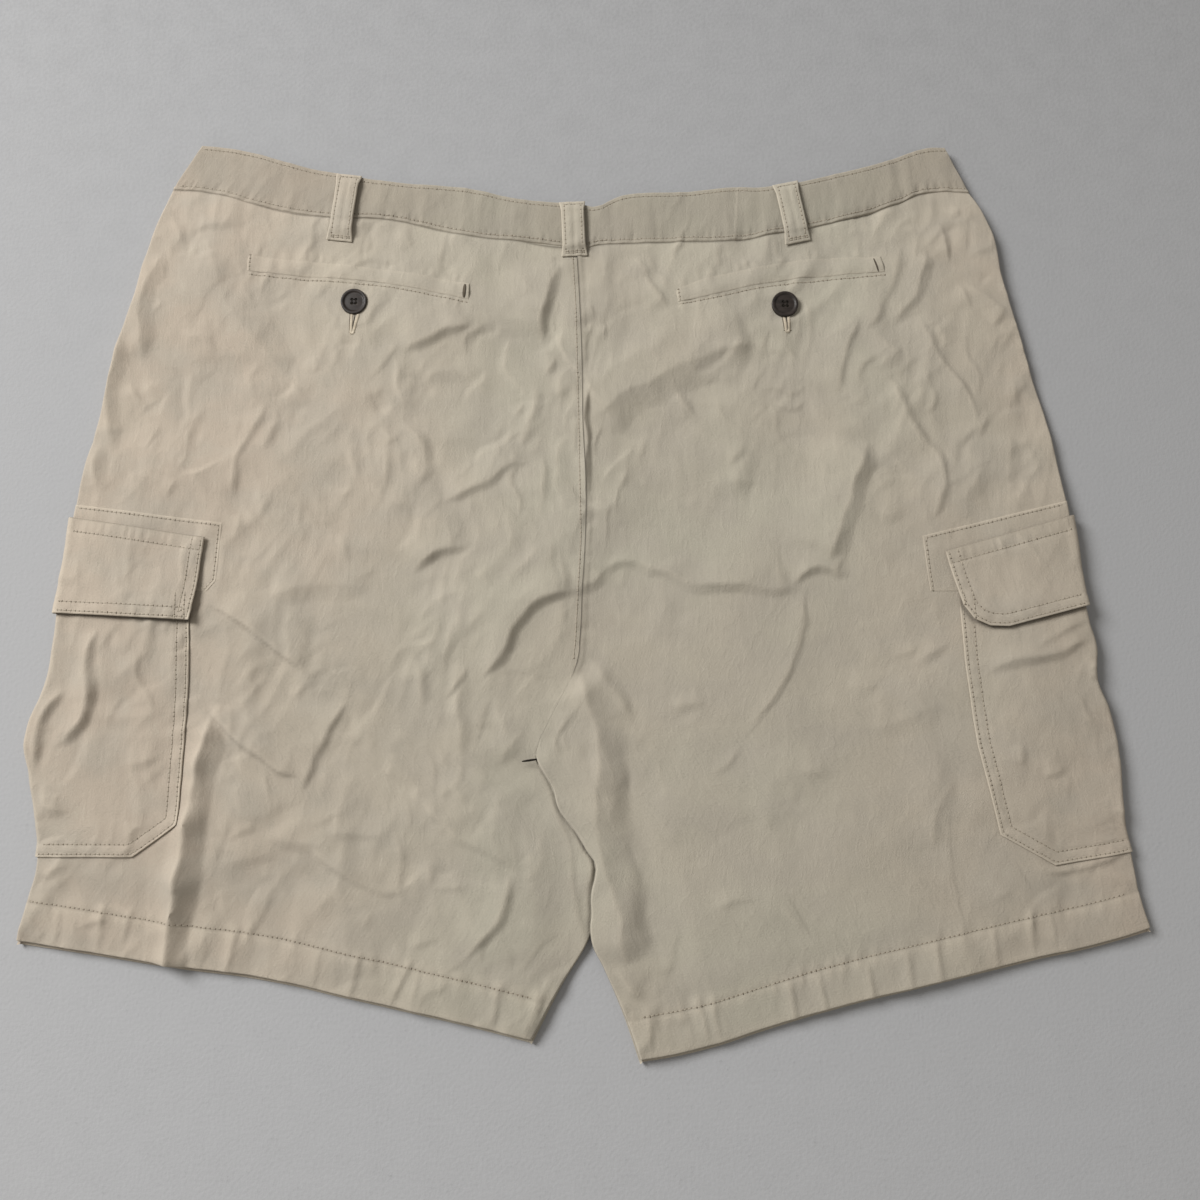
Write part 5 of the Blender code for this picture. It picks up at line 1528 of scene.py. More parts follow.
SEWN_DIP, SEWN_GATHERS, SEWN_GATHERS_AT = Dip(0.26, 1.0), Gathers(0.3, 8.0, 4.5, 0), 5.0
POCKET_SEED, FACING_SEED, STRIP_SEED, FLAP_SEED, CURL_SEED = 81, 85, 91, 93, 95
POCKET_FULL, FULL_FROM = 0.9, (6.0, 34.0)  # the pocket stands off the leg by this away from its edge
FACING_DIP, FACING_ROW, FACING_LESS = Dip(0.2, 1.1), 2.0, 0.35
FACING_ROUGH, ROUGH_SIZE = 0.12, 9.0
STRIP_GATHERS, STRIP_DIP = Gathers(0.6, 3.7, 4.5, STRIP_SEED), Dip(0.4, 1.3)
STRIP_GATHERS_AT = 0.6  # share of the strip's width
IMPRINT = Dip(-0.22, 1.7)
CURL, CURL_SIZE, CURL_FROM = 0.5, 24.0, (-5.0, -32.0)
UPPER_FROM = 0.5  # share of the way round a side from which a piece bears no stitching


def sewn_edge(path, x, y, seed):
    """Two stitched lines inside an edge, with the cloth gathered between them."""
    off, along, _ = beside(path, x, y)
    edge = np.abs(off)
    lines = sum(dip(SEWN_DIP, edge - row) for row in DOUBLE_ROWS)
    return lines + gathers(SEWN_GATHERS, along, edge - SEWN_GATHERS_AT, seed)


# How far each wrapping piece stands off the cloth; above is 1 on the back and 0 from the side's fold on

def pocket_out(leg):
    path = edge_path(leg, POCKETS[leg.name])

    def out_at(x, y, above):
        off, _, _ = beside(path, x, y)
        full = POCKET_FULL * smooth(*FULL_FROM, np.abs(off))
        sewn = sewn_edge(path, x, y, POCKET_SEED + leg.sign) * (above > UPPER_FROM)
        return POCKET_OUT + above * (full + sewn)

    return out_at


def facing_out(leg):
    path = FACINGS[leg.name].inner

    def out_at(x, y, above):
        off, _, _ = beside(path, x, y)
        line = dip(FACING_DIP, np.abs(off) - FACING_ROW)
        rough = FACING_ROUGH * above * noise(x, y, ROUGH_SIZE, FACING_SEED)
        return FACING_OUT - FACING_LESS * (above > 0.0) + line * above + rough

    return out_at


def flap_out(leg):
    flap = FLAPS[leg.name]
    path, top = edge_path(leg, flap), top_edge(leg, flap)

    def out_at(x, y, above):
        down, along, _ = beside(top, x, y)
        down = np.abs(down)
        strip = gathers(STRIP_GATHERS, along, down - STRIP_GATHERS_AT * FLAP_STRIP, leg.sign)
        ring = np.hypot(x - FLAP_IMPRINT.x, y - FLAP_IMPRINT.y) - IMPRINT_RADIUS
        imprint = dip(IMPRINT, ring) * (leg.sign < 0)
        sewn = strip + dip(STRIP_DIP, down - FLAP_STRIP) + imprint + sewn_edge(path, x, y, FLAP_SEED)
        curl = CURL * noise(x, y, CURL_SIZE, CURL_SEED + leg.sign) * smooth(*CURL_FROM, y)
        flare = FLAP_FLARE * smooth(*FLAP_STANDS_OFF, y)
        return FLAP_OUT + above * (flare + curl + sewn * (above > UPPER_FROM))

    return out_at


# The waistband

BAND_PITCH = (0.95, 1.4)
BAND_STITCH = 3.0  # from the band's seam up, and from its top edge down
BAND_STEP = (-0.5, 1.0)
BAND_GATHERS, TOP_GATHERS = Gathers(0.5, 7.0, 8.0, 101), Gathers(0.2, 7.0, 6.0, 103)
GATHERS_START = 1.5
DIMPLES, DIMPLES_AT = Gathers(0.5, 3.6, 2.8, 105), 4.4
BAND_DIP, BAND_TOP_DIP = Dip(0.32, 1.0), Dip(0.24, 1.0)
BAND_ROUNDED, HALF_THIN = 0.7, 0.5
# Paler tone along the band's edges: rubbing, with painted highlight
SMALL_WEAR_AND_HIGHLIGHT, BAND_WEAR_AND_HIGHLIGHT_REACH = 0.5, 1.4
BAND_SHADE = 0.18  # painted shade: the band is mixed a little towards the deep shade colour, so it shows darker than the panels


def dimples(along, pitch, seed):
    """A row of uneven dips that stitches draw in, 0 to 1."""
    return np.clip(noise(along, 0.31 * along, pitch, seed) * NOISE_SCALE, 0.0, 1.0)


def waist_height(x, y):
    """Height of the outermost cloth round the waist: the band above its seam, the panels below."""
    return back_height(LEGS["left"], x, y) + BAND_PROUD * smooth(*BAND_STEP, y - waist_seam(x))


def band_relief(along, rise, tall):
    """Gathers and stitched lines of the back band, from its seam up."""
    low = gathers(BAND_GATHERS, along[None], rise) * smooth(0.0, GATHERS_START, rise)
    dimpled = DIMPLES.height * dimples(along, DIMPLES.pitch, DIMPLES.seed)[None]
    low = low - dimpled * bell(rise - DIMPLES_AT, DIMPLES.reach)
    rows = dip(BAND_DIP, rise - BAND_STITCH) + dip(BAND_TOP_DIP, tall - BAND_STITCH - rise)
    return low + gathers(TOP_GATHERS, along[None], tall - rise) + rows


def band_edges(shares, front):
    """Seam and top edge of a run of the waistband."""
    seam_x, seam_y, top_x, top_y = band_point(shares)
    lower = front_dip(seam_x) if front else 0.0
    return np.stack([seam_x, seam_y - lower], -1), np.stack([top_x, top_y - lower], -1)


def band_grid(shares, front, pitch):
    seam, top = band_edges(shares, front)
    tall = float(np.linalg.norm(top - seam, axis=1).mean())
    up = with_edges(tall, pitch)
    share = up[:, None, None] / tall
    xy = seam * (1.0 - share) + top * share
    x, y = xy[..., 0], xy[..., 1]
    along = lengths_along(seam)
    floor = floor_lift(LEGS["left"], x, y)
    upper = back_height(LEGS["left"], x, y) + BAND_PROUD
    if not front:
        upper = upper + band_relief(along, up[:, None], tall)
    upper = np.maximum(upper, floor + 2.0 * BAND_WALL + SEAM_GAP)
    half = (upper - floor) / 2.0
    drop = np.zeros(len(shares))
    _, turned = round_places(1.0)
    if shares[0] == 0.0:
        drop[:ROUND_STEPS] = turned
    if shares[-1] == 1.0:
        drop[-ROUND_STEPS:] = turned[::-1]
    edge = np.minimum(up, tall - up)[:, None] + 0.0 * x
    rounded = BAND_ROUNDED * BAND_WALL * edge_drop(edge, FINE_EDGE[-1])
    seam_gap = 0.5 * SEAM_GAP * (drop > AT_SEAM)
    if front:
        height = floor + half * drop - seam_gap + 0.5 * rounded
    else:
        height = upper - half * drop + seam_gap - rounded
    thin = 1.0 - HALF_THIN * edge_drop(edge, FINE_EDGE[-1])
    wear = np.clip(SMALL_WEAR_AND_HIGHLIGHT * np.exp(-edge / BAND_WEAR_AND_HIGHLIGHT_REACH), 0.0, 1.0)
    return stacked(xy, height), threads_of(along, up), wear, thin


def band_shares(first, last, pitch):
    """Shares along the band from one end to the other, close together where it turns round a side."""
    length = float(lengths_along(np.array(WAIST_SEAM)).max())
    places, _ = round_places(SIDE_FOLD)
    start = places / length if first == 0.0 else np.array([first])
    end = 1.0 - places[::-1] / length if last == 1.0 else np.array([last])
    count = int((last - first) * length / pitch)
    return np.concatenate([start, np.linspace(start[-1], end[0], count)[1:-1], end])


FRONT_SPLIT = 0.49  # share of the band's length where the two halves of the front band meet
SPLIT_GAP = 0.0004
BAND_RUNS = (
    ("waistband_back", 0.0, 1.0),
    ("waistband_front_left", 0.0, FRONT_SPLIT - SPLIT_GAP),
    ("waistband_front_right", FRONT_SPLIT + SPLIT_GAP, 1.0),
)


def make_band(name, first, last):
    front = "front" in name
    pitch = FRONT_PITCH if front else BAND_PITCH
    grid, cloth, wear, thin = band_grid(band_shares(first, last, pitch[0]), front, pitch[1])
    # paler tone on crests (rubbing and painted highlight), and painted shade over the whole band
    worn = fold_crests(grid, wear)
    shade = np.full(worn.shape, BAND_SHADE)
    dress(name, grid, cloth, BAND_WALL, thin, worn, not front, shade)


# Belt loops and welts

LOOPS_BACK = {
    "left": ((-167.5, 232.7), (-161.7, 281.0)),
    "centre": ((-5, 221.5), (-6.8, 260.6)),
    "right": ((149.2, 231.5), (140.9, 274.6)),
}
LOOP_WALL = 1.2
LOOP_PITCH = 1.1
LOOP_OUT = 1.4
LOOP_BOW = 0.9
LOOP_PINCH = 0.12  # share of its width that a loop loses between its sewn ends
PINCH_LOW, PINCH_HIGH = (0.0, 0.24), (1.0, 0.8)  # shares of its length where that begins and is whole
FREE_LOW, FREE_HIGH = (0.02, 0.2), (0.99, 0.84)  # and where it comes clear of the band
LOOP_PILLOW = 0.9  # its middle stands above its sides
LOOP_EDGE_STANDS, EDGE_STANDS_FROM = 1.1, 0.45  # the loop's right edge stands off the band this much more
LOOP_SEEN_ABOVE = 2.0  # the loop lies on the highest cloth so far up
LOOP_FOLLOWS = 0.4  # share of the band's unevenness that shows across it
LOOP_ROW = 3.0  # from the loop's side to its rolled line
LOOP_DIP, LOOP_FOLD, LOOP_FOLD_AT = Dip(0.25, 1.0), Dip(0.35, 1.0), 0.6
LOOP_ROUGH, LOOP_ROUGH_SIZE, LOOP_SEED = 0.3, 7.0, 111
# Paler tone along a loop's edges: rubbing, with painted highlight
LOOP_ROUNDED, WELT_ROUNDED, SMALL_WEAR_AND_HIGHLIGHT_REACH = 0.5, 0.4, 1.2
FRONT_LOOP_PITCH, FRONT_LOOP_WEAR_AND_HIGHLIGHT = 2.0, 0.7
FRONT_LOOP_ABOVE, FRONT_LOOP_BELOW = 34.0, 15.0


def make_strip(node, xy, height, threads, edge, wall, wear, rounded, up=True):
    """A small cloth piece with rounded edges: rounded is the share of its wall by which they drop."""
    drop = edge_drop(edge, FINE_EDGE[-1])
    grid = stacked(xy, height - rounded * wall * drop)
    dress(node, grid, threads, wall, 1.0 - HALF_THIN * drop, wear, up)


def loop_edges(up, across):
    """Distance of each point of a loop from the nearest of its four edges."""
    from_ends, from_sides = np.minimum(up, up[-1] - up), LOOP_WIDTH / 2.0 - np.abs(across)
    return np.minimum(from_ends[:, None], from_sides[None])


def make_back_loop(name, start, end):
    length, toward, sideways = line_frame(start, end)
    up, across = with_edges(length, LOOP_PITCH), with_edges(LOOP_WIDTH, LOOP_PITCH) - LOOP_WIDTH / 2.0
    pinched = smooth(*PINCH_LOW, up / length) * smooth(*PINCH_HIGH, up / length)
    pinch = 1.0 - LOOP_PINCH * pinched[:, None]
    xy = np.array(start, float) + toward * up[:, None, None] + sideways * (across * pinch)[..., None]
    x, y = xy[..., 0], xy[..., 1]
    share, beside_share = up[:, None] / length, (across[None] / LOOP_WIDTH) + 0.5
    lying = np.maximum(waist_height(x, y), waist_height(x, y + LOOP_SEEN_ABOVE))
    level = lying.mean(axis=1)[:, None] * (1.0 - LOOP_FOLLOWS) + lying * LOOP_FOLLOWS
    free = smooth(*FREE_LOW, share) * smooth(*FREE_HIGH, share)
    stands = LOOP_BOW + LOOP_EDGE_STANDS * smooth(EDGE_STANDS_FROM, 1.0, beside_share)
    rolled = dip(LOOP_DIP, np.abs(across)[None] - LOOP_WIDTH / 2.0 + LOOP_ROW)
    pillow = LOOP_PILLOW * (1.0 - (2.0 * across[None] / LOOP_WIDTH) ** 2) * free
    fold = dip(LOOP_FOLD, across[None] - LOOP_FOLD_AT) * free
    rough = LOOP_ROUGH * noise(x, y, LOOP_ROUGH_SIZE, LOOP_SEED + len(name))
    height = level + LOOP_OUT + free * stands + rolled + pillow + fold + rough
    edge = loop_edges(up, across)
    wear = np.clip(SMALL_WEAR_AND_HIGHLIGHT * np.exp(-edge / SMALL_WEAR_AND_HIGHLIGHT_REACH), 0.0, 1.0)
    node, threads = f"belt_loop_back_{name}", threads_of(across, up)
    make_strip(node, xy, height, threads, edge, LOOP_WALL, wear, LOOP_ROUNDED)


def front_seam(middle):
    """Y of the front waistband's seam."""
    return float(along_x(WAIST_SEAM, middle) - front_dip(middle))


def make_front_loop(name, middle):
    low = front_seam(middle) - FRONT_LOOP_BELOW
    up = with_edges(FRONT_LOOP_ABOVE + FRONT_LOOP_BELOW, FRONT_LOOP_PITCH)
    across = with_edges(LOOP_WIDTH, FRONT_LOOP_PITCH) - LOOP_WIDTH / 2.0
    xy = threads_of(middle + across, low + up)
    edge = loop_edges(up, across)
    wear = FRONT_LOOP_WEAR_AND_HIGHLIGHT * np.exp(-edge / SMALL_WEAR_AND_HIGHLIGHT_REACH)
    height = np.full(edge.shape, THREAD_ROOM)
    node = f"belt_loop_front_{name}"
    make_strip(node, xy, height, xy.copy(), edge, LOOP_WALL, wear, -LOOP_ROUNDED, up=False)


WELT_WALL = 1.0
WELT_OUT, WELT_EASE = 0.8, 4.0
WELT_PITCH, WELT_ALONG_PITCH, WELT_UP_PITCH = 1.6, 1.8, 1.4
WELT_FACE_GATHERS = Gathers(0.2, 6.0, 3.5, 121)
LIPS, LIPS_FROM = -0.75, 0.35  # the welt's upper edge dips into the pocket
GAPE, GAPE_REACH, GAPE_UP = 0.7, (9.0, 1.0), (0.1, 0.5)  # and its right end stands open
# Paler tone along the welt's edges and a little over all of it: rubbing, with painted highlight
WELT_WEAR_AND_HIGHLIGHT, WELT_WEAR_AND_HIGHLIGHT_REACH, WELT_WEAR_AND_HIGHLIGHT_LEAST = 0.35, 1.3, 0.06


def make_welt(name):
    edges = [spaced(welt_line(name, share), WELT_PITCH) for share in (0.0, 1.0)]
    lengths = with_edges(lengths_along(edges[0])[-1], WELT_ALONG_PITCH)
    near, far = (
        np.stack([
            np.interp(lengths / lengths[-1], np.linspace(0, 1, len(edge)), column) for column in edge.T
        ], -1)
        for edge in edges
    )
    tall = float(np.linalg.norm(far - near, axis=1).mean())
    up = with_edges(tall, WELT_UP_PITCH)
    rise, share = up[:, None], up[:, None, None] / tall
    xy = near * (1.0 - share) + far * share
    edge = np.minimum(np.minimum(up, tall - up)[:, None], np.minimum(lengths, lengths[-1] - lengths)[None])
    lips = LIPS * smooth(LIPS_FROM * tall, tall, rise)
    gape = GAPE * smooth(*GAPE_REACH, lengths[-1] - lengths)[None] * smooth(*GAPE_UP, rise / tall)
    out = WELT_OUT * (0.5 + 0.5 * smooth(0.0, WELT_EASE, rise))
    gathered = gathers(WELT_FACE_GATHERS, lengths[None], rise)
    height = back_height(LEGS[name], xy[..., 0], xy[..., 1]) + out + gathered + lips + gape
    wear = np.clip(WELT_WEAR_AND_HIGHLIGHT * np.exp(-edge / WELT_WEAR_AND_HIGHLIGHT_REACH) + WELT_WEAR_AND_HIGHLIGHT_LEAST, 0.0, 1.0)
    node, threads = f"back_welt_{name}", threads_of(lengths, up)
    make_strip(node, xy, height, threads, edge, WELT_WALL, wear, WELT_ROUNDED)


# Seats: where things lie on the finished cloth

class Seat:
    """Finds the outermost cloth over or under a place."""

    def __init__(self, *names):
        graph = bpy.context.evaluated_depsgraph_get()
        self.trees = [BVHTree.FromObject(bpy.data.objects[name], graph) for name in names]

    def at(self, x, y, above=True):
        """Point and outward normal in the frame, in mm, or nothing beside the cloth."""
        start = Vector(((x - MIDDLE.x) * MM, (y - MIDDLE.y) * MM, 0.5 if above else -0.5))
        down = Vector((0.0, 0.0, -1.0 if above else 1.0))
        hits = [tree.ray_cast(start, down) for tree in self.trees]
        hits = [hit for hit in hits if hit[0] is not None]
        if not hits:
            return None
        best = min(hits, key=lambda hit: hit[3])
        return np.array(best[0]) / MM, np.array(best[1])


def lay(x_axis, up, origin, shape):
    """Points of a shape placed by its long axis and its up direction."""
    x_axis = x_axis / np.linalg.norm(x_axis)
    side = np.cross(up, x_axis)
    side = side / np.linalg.norm(side)
    normal = np.cross(x_axis, side)
    return origin + shape @ np.array([x_axis, side, normal])


class Scatter:
    """Copies of small shapes, gathered into one mesh."""

    def __init__(self):
        self.points, self.faces, self.shades, self.count = [], [], [], 0

    def add(self, shape, placed, shade):
        self.points.append(placed)
        self.faces.extend([tuple(corner + self.count for corner in face) for face in shape.faces])
        self.shades.append(np.full(len(placed), shade) if np.isscalar(shade) else shade)
        self.count += len(placed)

    def object(self, name, material, slot):
        mesh = bpy.data.meshes.new(name)
        points = np.concatenate(self.points) * MM
        mesh.from_pydata(points.tolist(), [], self.faces)
        layer = mesh.attributes.new("shade", "FLOAT", "POINT")
        layer.data.foreach_set("value", np.concatenate(self.shades).astype(np.float32))
        mesh.shade_smooth()
        mesh.materials.append(material)
        made = bpy.data.objects.new(name, mesh)
        bpy.context.scene.collection.objects.link(made)
        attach(made, BODY)
        return made


Shape = namedtuple("Shape", "points faces")


def shape_of(made):
    """Points in mm and faces of a small primitive, which is then removed."""
    mesh = made.data
    points = np.array([vertex.co for vertex in mesh.vertices])
    faces = [tuple(polygon.vertices) for polygon in mesh.polygons]
    bpy.data.objects.remove(made)
    return Shape(points, faces)


def bead():
    """A ball of a few faces, one across, the start of every stitch."""
    clear_selection()
    along_path = (0.0, math.pi / 2.0, 0.0)
    bpy.ops.mesh.primitive_uv_sphere_add(segments=6, ring_count=4, radius=0.5, rotation=along_path)
    bpy.ops.object.transform_apply(location=False, rotation=True, scale=False)
    return shape_of(bpy.context.object)


def hole():
    """A flat six-sided mound that carries the painted shade of the needle hole between two stitches."""
    clear_selection()
    bpy.ops.mesh.primitive_cone_add(vertices=6, radius1=0.5, radius2=0.0, depth=1.0)
    return shape_of(bpy.context.object)


# Stitching: each row is a path, laid over or under the cloth of the named pieces
Row = namedtuple("Row", "path curved above")
PATH_STEP, SIDE_STEP, SEW_STEP = 3.0, 2.0, 1.5
SEW_SEED, SPACING = 7, 0.12
LENGTHS, THICKNESSES, FLATTENED = (0.92, 1.06), (0.9, 1.15), 0.85
RAISED = 0.12  # share of its thickness by which a stitch stands up
# painted shade where a stitch dips into the cloth
END_SHADE, END_FROM = 0.3, 0.72  # a thread darkens from this share of its half length on
LONGEST, LEAST_UP = 2.0, 0.5  # a stitch over a larger step, or on cloth that turns away, is left out
# the needle holes are dark flat mounds: painted shade between the stitches
PIT_LONGER, PIT_WIDTHS, PIT_TALL, PIT_UP, PIT_SHADES = 0.35, (2.0, 3.6), 0.14, 0.06, (0.55, 1.0)


def offset_path(path, distance, pitch=PATH_STEP):
    """A path moved to its right."""
    points = spaced(path, pitch, curved=False)
    run = np.gradient(points, axis=0)
    run = run / np.linalg.norm(run, axis=1)[:, None]
    return points + np.stack([run[:, 1], -run[:, 0]], -1) * distance


def sew(name, rows, seat, hole_shade=1.0):
    """One joined mesh of every stitch of some rows, with dark mounds of painted shade for the needle holes
    between them.
    """
    look = bpy.context.scene.shorts_thread
    length, gap, thick = (size / MM for size in (look.stitch_length, look.stitch_gap, look.thickness))
    stitch, dot = bead(), hole()
    laid = Scatter()
    uneven = np.random.RandomState(SEW_SEED)
    ends = np.abs(stitch.points[:, 0]) * 2.0
    end_shade = END_SHADE * np.clip((ends - END_FROM) / (1.0 - END_FROM), 0.0, 1.0)
    for row in rows:
        known = spaced(row.path, SEW_STEP, row.curved)
        total = lengths_along(known)
        wanted = np.arange(0.5 * (length + gap), total[-1], length + gap)
        for middle in wanted + uneven.uniform(-SPACING, SPACING, len(wanted)):
            places = [
                np.array([np.interp(middle + step, total, column) for column in known.T])
                for step in (-0.5 * length, 0.5 * length, 0.5 * (length + gap))
            ]
            hits = [seat.at(*place, above=row.above) for place in places]
            if any(hit is None for hit in hits):
                continue
            (first, up), (last, last_up), (pit_place, pit_up) = hits
            axis, up = last - first, up + last_up
            if np.linalg.norm(axis) > LONGEST * length or np.linalg.norm(up) < LEAST_UP:
                continue
            longer, thicker = uneven.uniform(*LENGTHS), uneven.uniform(*THICKNESSES)
            size = np.array([length * longer, thick * thicker, thick * FLATTENED])
            raised_by = up / np.linalg.norm(up) * (RAISED * thick)
            placed = lay(axis, up, (first + last) / 2.0 + raised_by, stitch.points * size)
            laid.add(stitch, placed, end_shade)
            pit = np.array([gap + PIT_LONGER, thick * uneven.uniform(*PIT_WIDTHS), PIT_TALL])
            placed = lay(axis, pit_up, pit_place + pit_up * PIT_UP, dot.points * pit)
            laid.add(dot, placed, hole_shade * uneven.uniform(*PIT_SHADES))
    return laid.object(name, material_once("thread", thread_finish), "twill")


HEM_PLACES, BAND_PLACES = 40, 90
BAND_ENDS = (0.006, 0.994)  # shares of the band's length where its stitching starts and ends


def hem_path(leg, above, front):
    """The hem's stitching, a fixed height over its edge."""
    x = np.linspace(leg.hem[0].x, leg.hem[-1].x, HEM_PLACES)
    y = along_x(leg.hem, x) + above - (HEM_PEEK if front else 0.0)
    inner, side = along_y(leg.inner, y), along_y(leg.side, y)
    kept = leg.sign * (x - inner) > INSEAM_FOLD + 1.0
    kept &= leg.sign * (side - x) > SIDE_FOLD + 1.0
    return np.stack([x, y], -1)[kept]


def seam_of_band(share, up, front):
    """A line along the waistband, from its seam (share 0) or top (share 1), moved up by some mm."""
    seam_x, seam_y, top_x, top_y = band_point(np.linspace(*BAND_ENDS, BAND_PLACES))
    seam, top = np.stack([seam_x, seam_y], -1), np.stack([top_x, top_y], -1)
    run = (top - seam) / np.linalg.norm(top - seam, axis=1)[:, None]
    points = seam * (1.0 - share) + top * share + run * up
    if front:
        points[:, 1] -= front_dip(seam_x)
    return points


def side_end(leg, path):
    """A path cut off where it reaches the fold at the side."""
    points = spaced(path, SIDE_STEP, curved=False)
    kept = leg.sign * (along_y(leg.side, points[:, 1]) - points[:, 0]) > SIDE_FOLD
    return points[kept]


def centre_rows():
    shown = [point for point in CENTRE_SEAM if point.y > SEAM_SHOWS]
    return [Row(offset_path(shown, TOPSTITCH_OFF), False, True)]


def hem_rows():
    return [Row(hem_path(leg, HEM_STITCHING, False), False, True) for leg in LEGS.values()]


# The front's stitching: the fly's curve and edge, and the mouths of the hand pockets
FLY_CURVE = table(Point, (-38, 212), (-40, 150), (-38, 110), (-28, 88), (-12, 76), (0, 72))
FLY_EDGE = table(Point, (-6, 214), (-3, 150), (-1, 72))
HAND_POCKETS = {
    "left": table(Point, (-200, 245), (-232, 200), (-262, 150), (-290, 118)),
    "right": table(Point, (190, 242), (222, 200), (250, 150), (276, 118)),
}
MOUTH_ROWS_APART = 6.0
FRONT_SEAM = CENTRE_SEAM[3:-1]


def front_rows():
    """Fly, hand pockets, seam and hems of the front, plainly sewn."""
    rows = [Row(path, True, False) for path in (FLY_CURVE, FLY_EDGE, FRONT_SEAM)]
    for name, leg in LEGS.items():
        mouth = HAND_POCKETS[name]
        rows.append(Row(hem_path(leg, HEM_STITCHING, True), False, False))
        rows.append(Row(mouth, True, False))
        rows.append(Row(offset_path(mouth, MOUTH_ROWS_APART * leg.sign), False, False))
    return rows


def band_rows():
    rows = []
    for share, up in ((0.0, BAND_STITCH), (1.0, -BAND_STITCH)):
        rows.append(Row(seam_of_band(share, up, False), False, True))
        rows.append(Row(seam_of_band(share, up, True), False, False))
    return rows


LOOP_ROW_IN, LOOP_ROW_END = 3.2, 2.0  # a loop's long rows: from its side, and from its ends
LOOP_ACROSS, LOOP_ACROSS_TOP = (2.2, 3.4), 2.4  # rows across it, from its lower and its upper end


def loop_rows():
    rows = []
    for start, end in LOOPS_BACK.values():
        length, toward, sideways = line_frame(start, end)
        for side in (-1.0, 1.0):
            edge = sideways * side * (LOOP_WIDTH / 2.0 - LOOP_ROW_IN)
            low, high = start + edge + toward * LOOP_ROW_END, end + edge - toward * LOOP_ROW_END
            rows.append(Row((low, high), False, True))
        for place in (*LOOP_ACROSS, length - LOOP_ACROSS_TOP):
            middle = np.array(start) + toward * place
            reach = sideways * (LOOP_WIDTH / 2.0 - LOOP_ROW_END)
            rows.append(Row((middle - reach, middle + reach), False, True))
    for middle in FRONT_LOOPS.values():
        seam = front_seam(middle)
        low, high = seam - FRONT_LOOP_BELOW + LOOP_ROW_END, seam + FRONT_LOOP_ABOVE - LOOP_ROW_END
        for side in (-1.0, 1.0):
            x = middle + side * (LOOP_WIDTH / 2.0 - LOOP_ROW_IN)
            rows.append(Row(((x, low), (x, high)), False, False))
    return rows


WELT_END = 1.6  # from the welt's left end to the stitching across it


def welt_rows():
    rows = []
    for name in WELTS:
        lower, upper = np.array(welt_line(name, 0.0)), np.array(welt_line(name, 1.0))
        share = -WELT_ROW / float(np.linalg.norm(upper - lower, axis=1).mean())
        line = lower + (upper - lower) * share
        rows.append(Row(line, False, True))
        inset = (line[-1] - line[0]) / np.linalg.norm(line[-1] - line[0]) * WELT_END
        rows.append(Row((lower[0] + inset, upper[0] + inset), False, True))
    return rows


def cargo_rows(leg):
    """Double rows round a cargo pocket and its flap, and the facing's single one, above and below."""
    pocket, flap, facing = POCKETS[leg.name], FLAPS[leg.name], FACINGS[leg.name]
    insets = [(edge_path(leg, wrap), -row) for wrap in (pocket, flap) for row in DOUBLE_ROWS]
    insets.append((top_edge(leg, flap), FLAP_STRIP))
    facing_top = (float(along_y(leg.side, facing.side_top)), facing.side_top)
    insets.append(((facing_top,) + tuple(facing.inner), -FACING_ROW))
    return [
        Row(side_end(leg, offset_path(path, leg.sign * inset)), False, above)
        for above in (True, False)
        for path, inset in insets
    ]


# Buttons and buttonholes

BACK_BUTTONS = {"left": Point(-155.6, 188.2), "right": Point(138.9, 186.5)}
BUTTON_SIDES, HOLE_SIDES = 48, 20
RIM_WIDTH = 1.7
DISH_WIDTH, DISH_DEPTH = 0.8, 0.8
MOUND_WIDTH, MOUND_RISE = 2.0, 0.25
HOLE_RADIUS = 1.05
HOLE_SPACING = 2.7
HOLE_LENGTH = 3.0  # of the tool that cuts a hole, in thicknesses of the button
ROUNDING, ROUNDING_STEPS, CORNER, BUTTON_SMOOTH = 0.5, 3, math.radians(25), math.radians(40)
LOOKS_UP = 0.99  # a face's normal has at least this much up
SAME_PLACE = 1e-6
STRAND_LONGER, STRAND_WIDE, STRAND_TALL, STRAND_UP = 1.2, 0.7, 0.6, 0.35
STRANDS = ((0, 1), (2, 3), (0, 2), (1, 3))  # from hole to hole


def select_top_face(mesh):
    """Selects the faces that look straight up and lie highest."""
    top = max(vertex.co.z for vertex in mesh.vertices)
    for polygon in mesh.polygons:
        polygon.select = polygon.normal.z > LOOKS_UP and abs(polygon.center.z - top) < SAME_PLACE


def drill(made, centres, depth):
    """Cuts round holes through a button."""
    for x, y in centres:
        clear_selection()
        place, deep = (x * MM, y * MM, 0.0), HOLE_LENGTH * depth * MM
        bpy.ops.mesh.primitive_cylinder_add(
            vertices=HOLE_SIDES, radius=HOLE_RADIUS * MM, depth=deep, location=place
        )
        cutter = bpy.context.object
        cut = made.modifiers.new("Hole", "BOOLEAN")
        cut.operation = "DIFFERENCE"
        cut.object = cutter
        apply_modifier(made, cut)
        bpy.data.objects.remove(cutter)


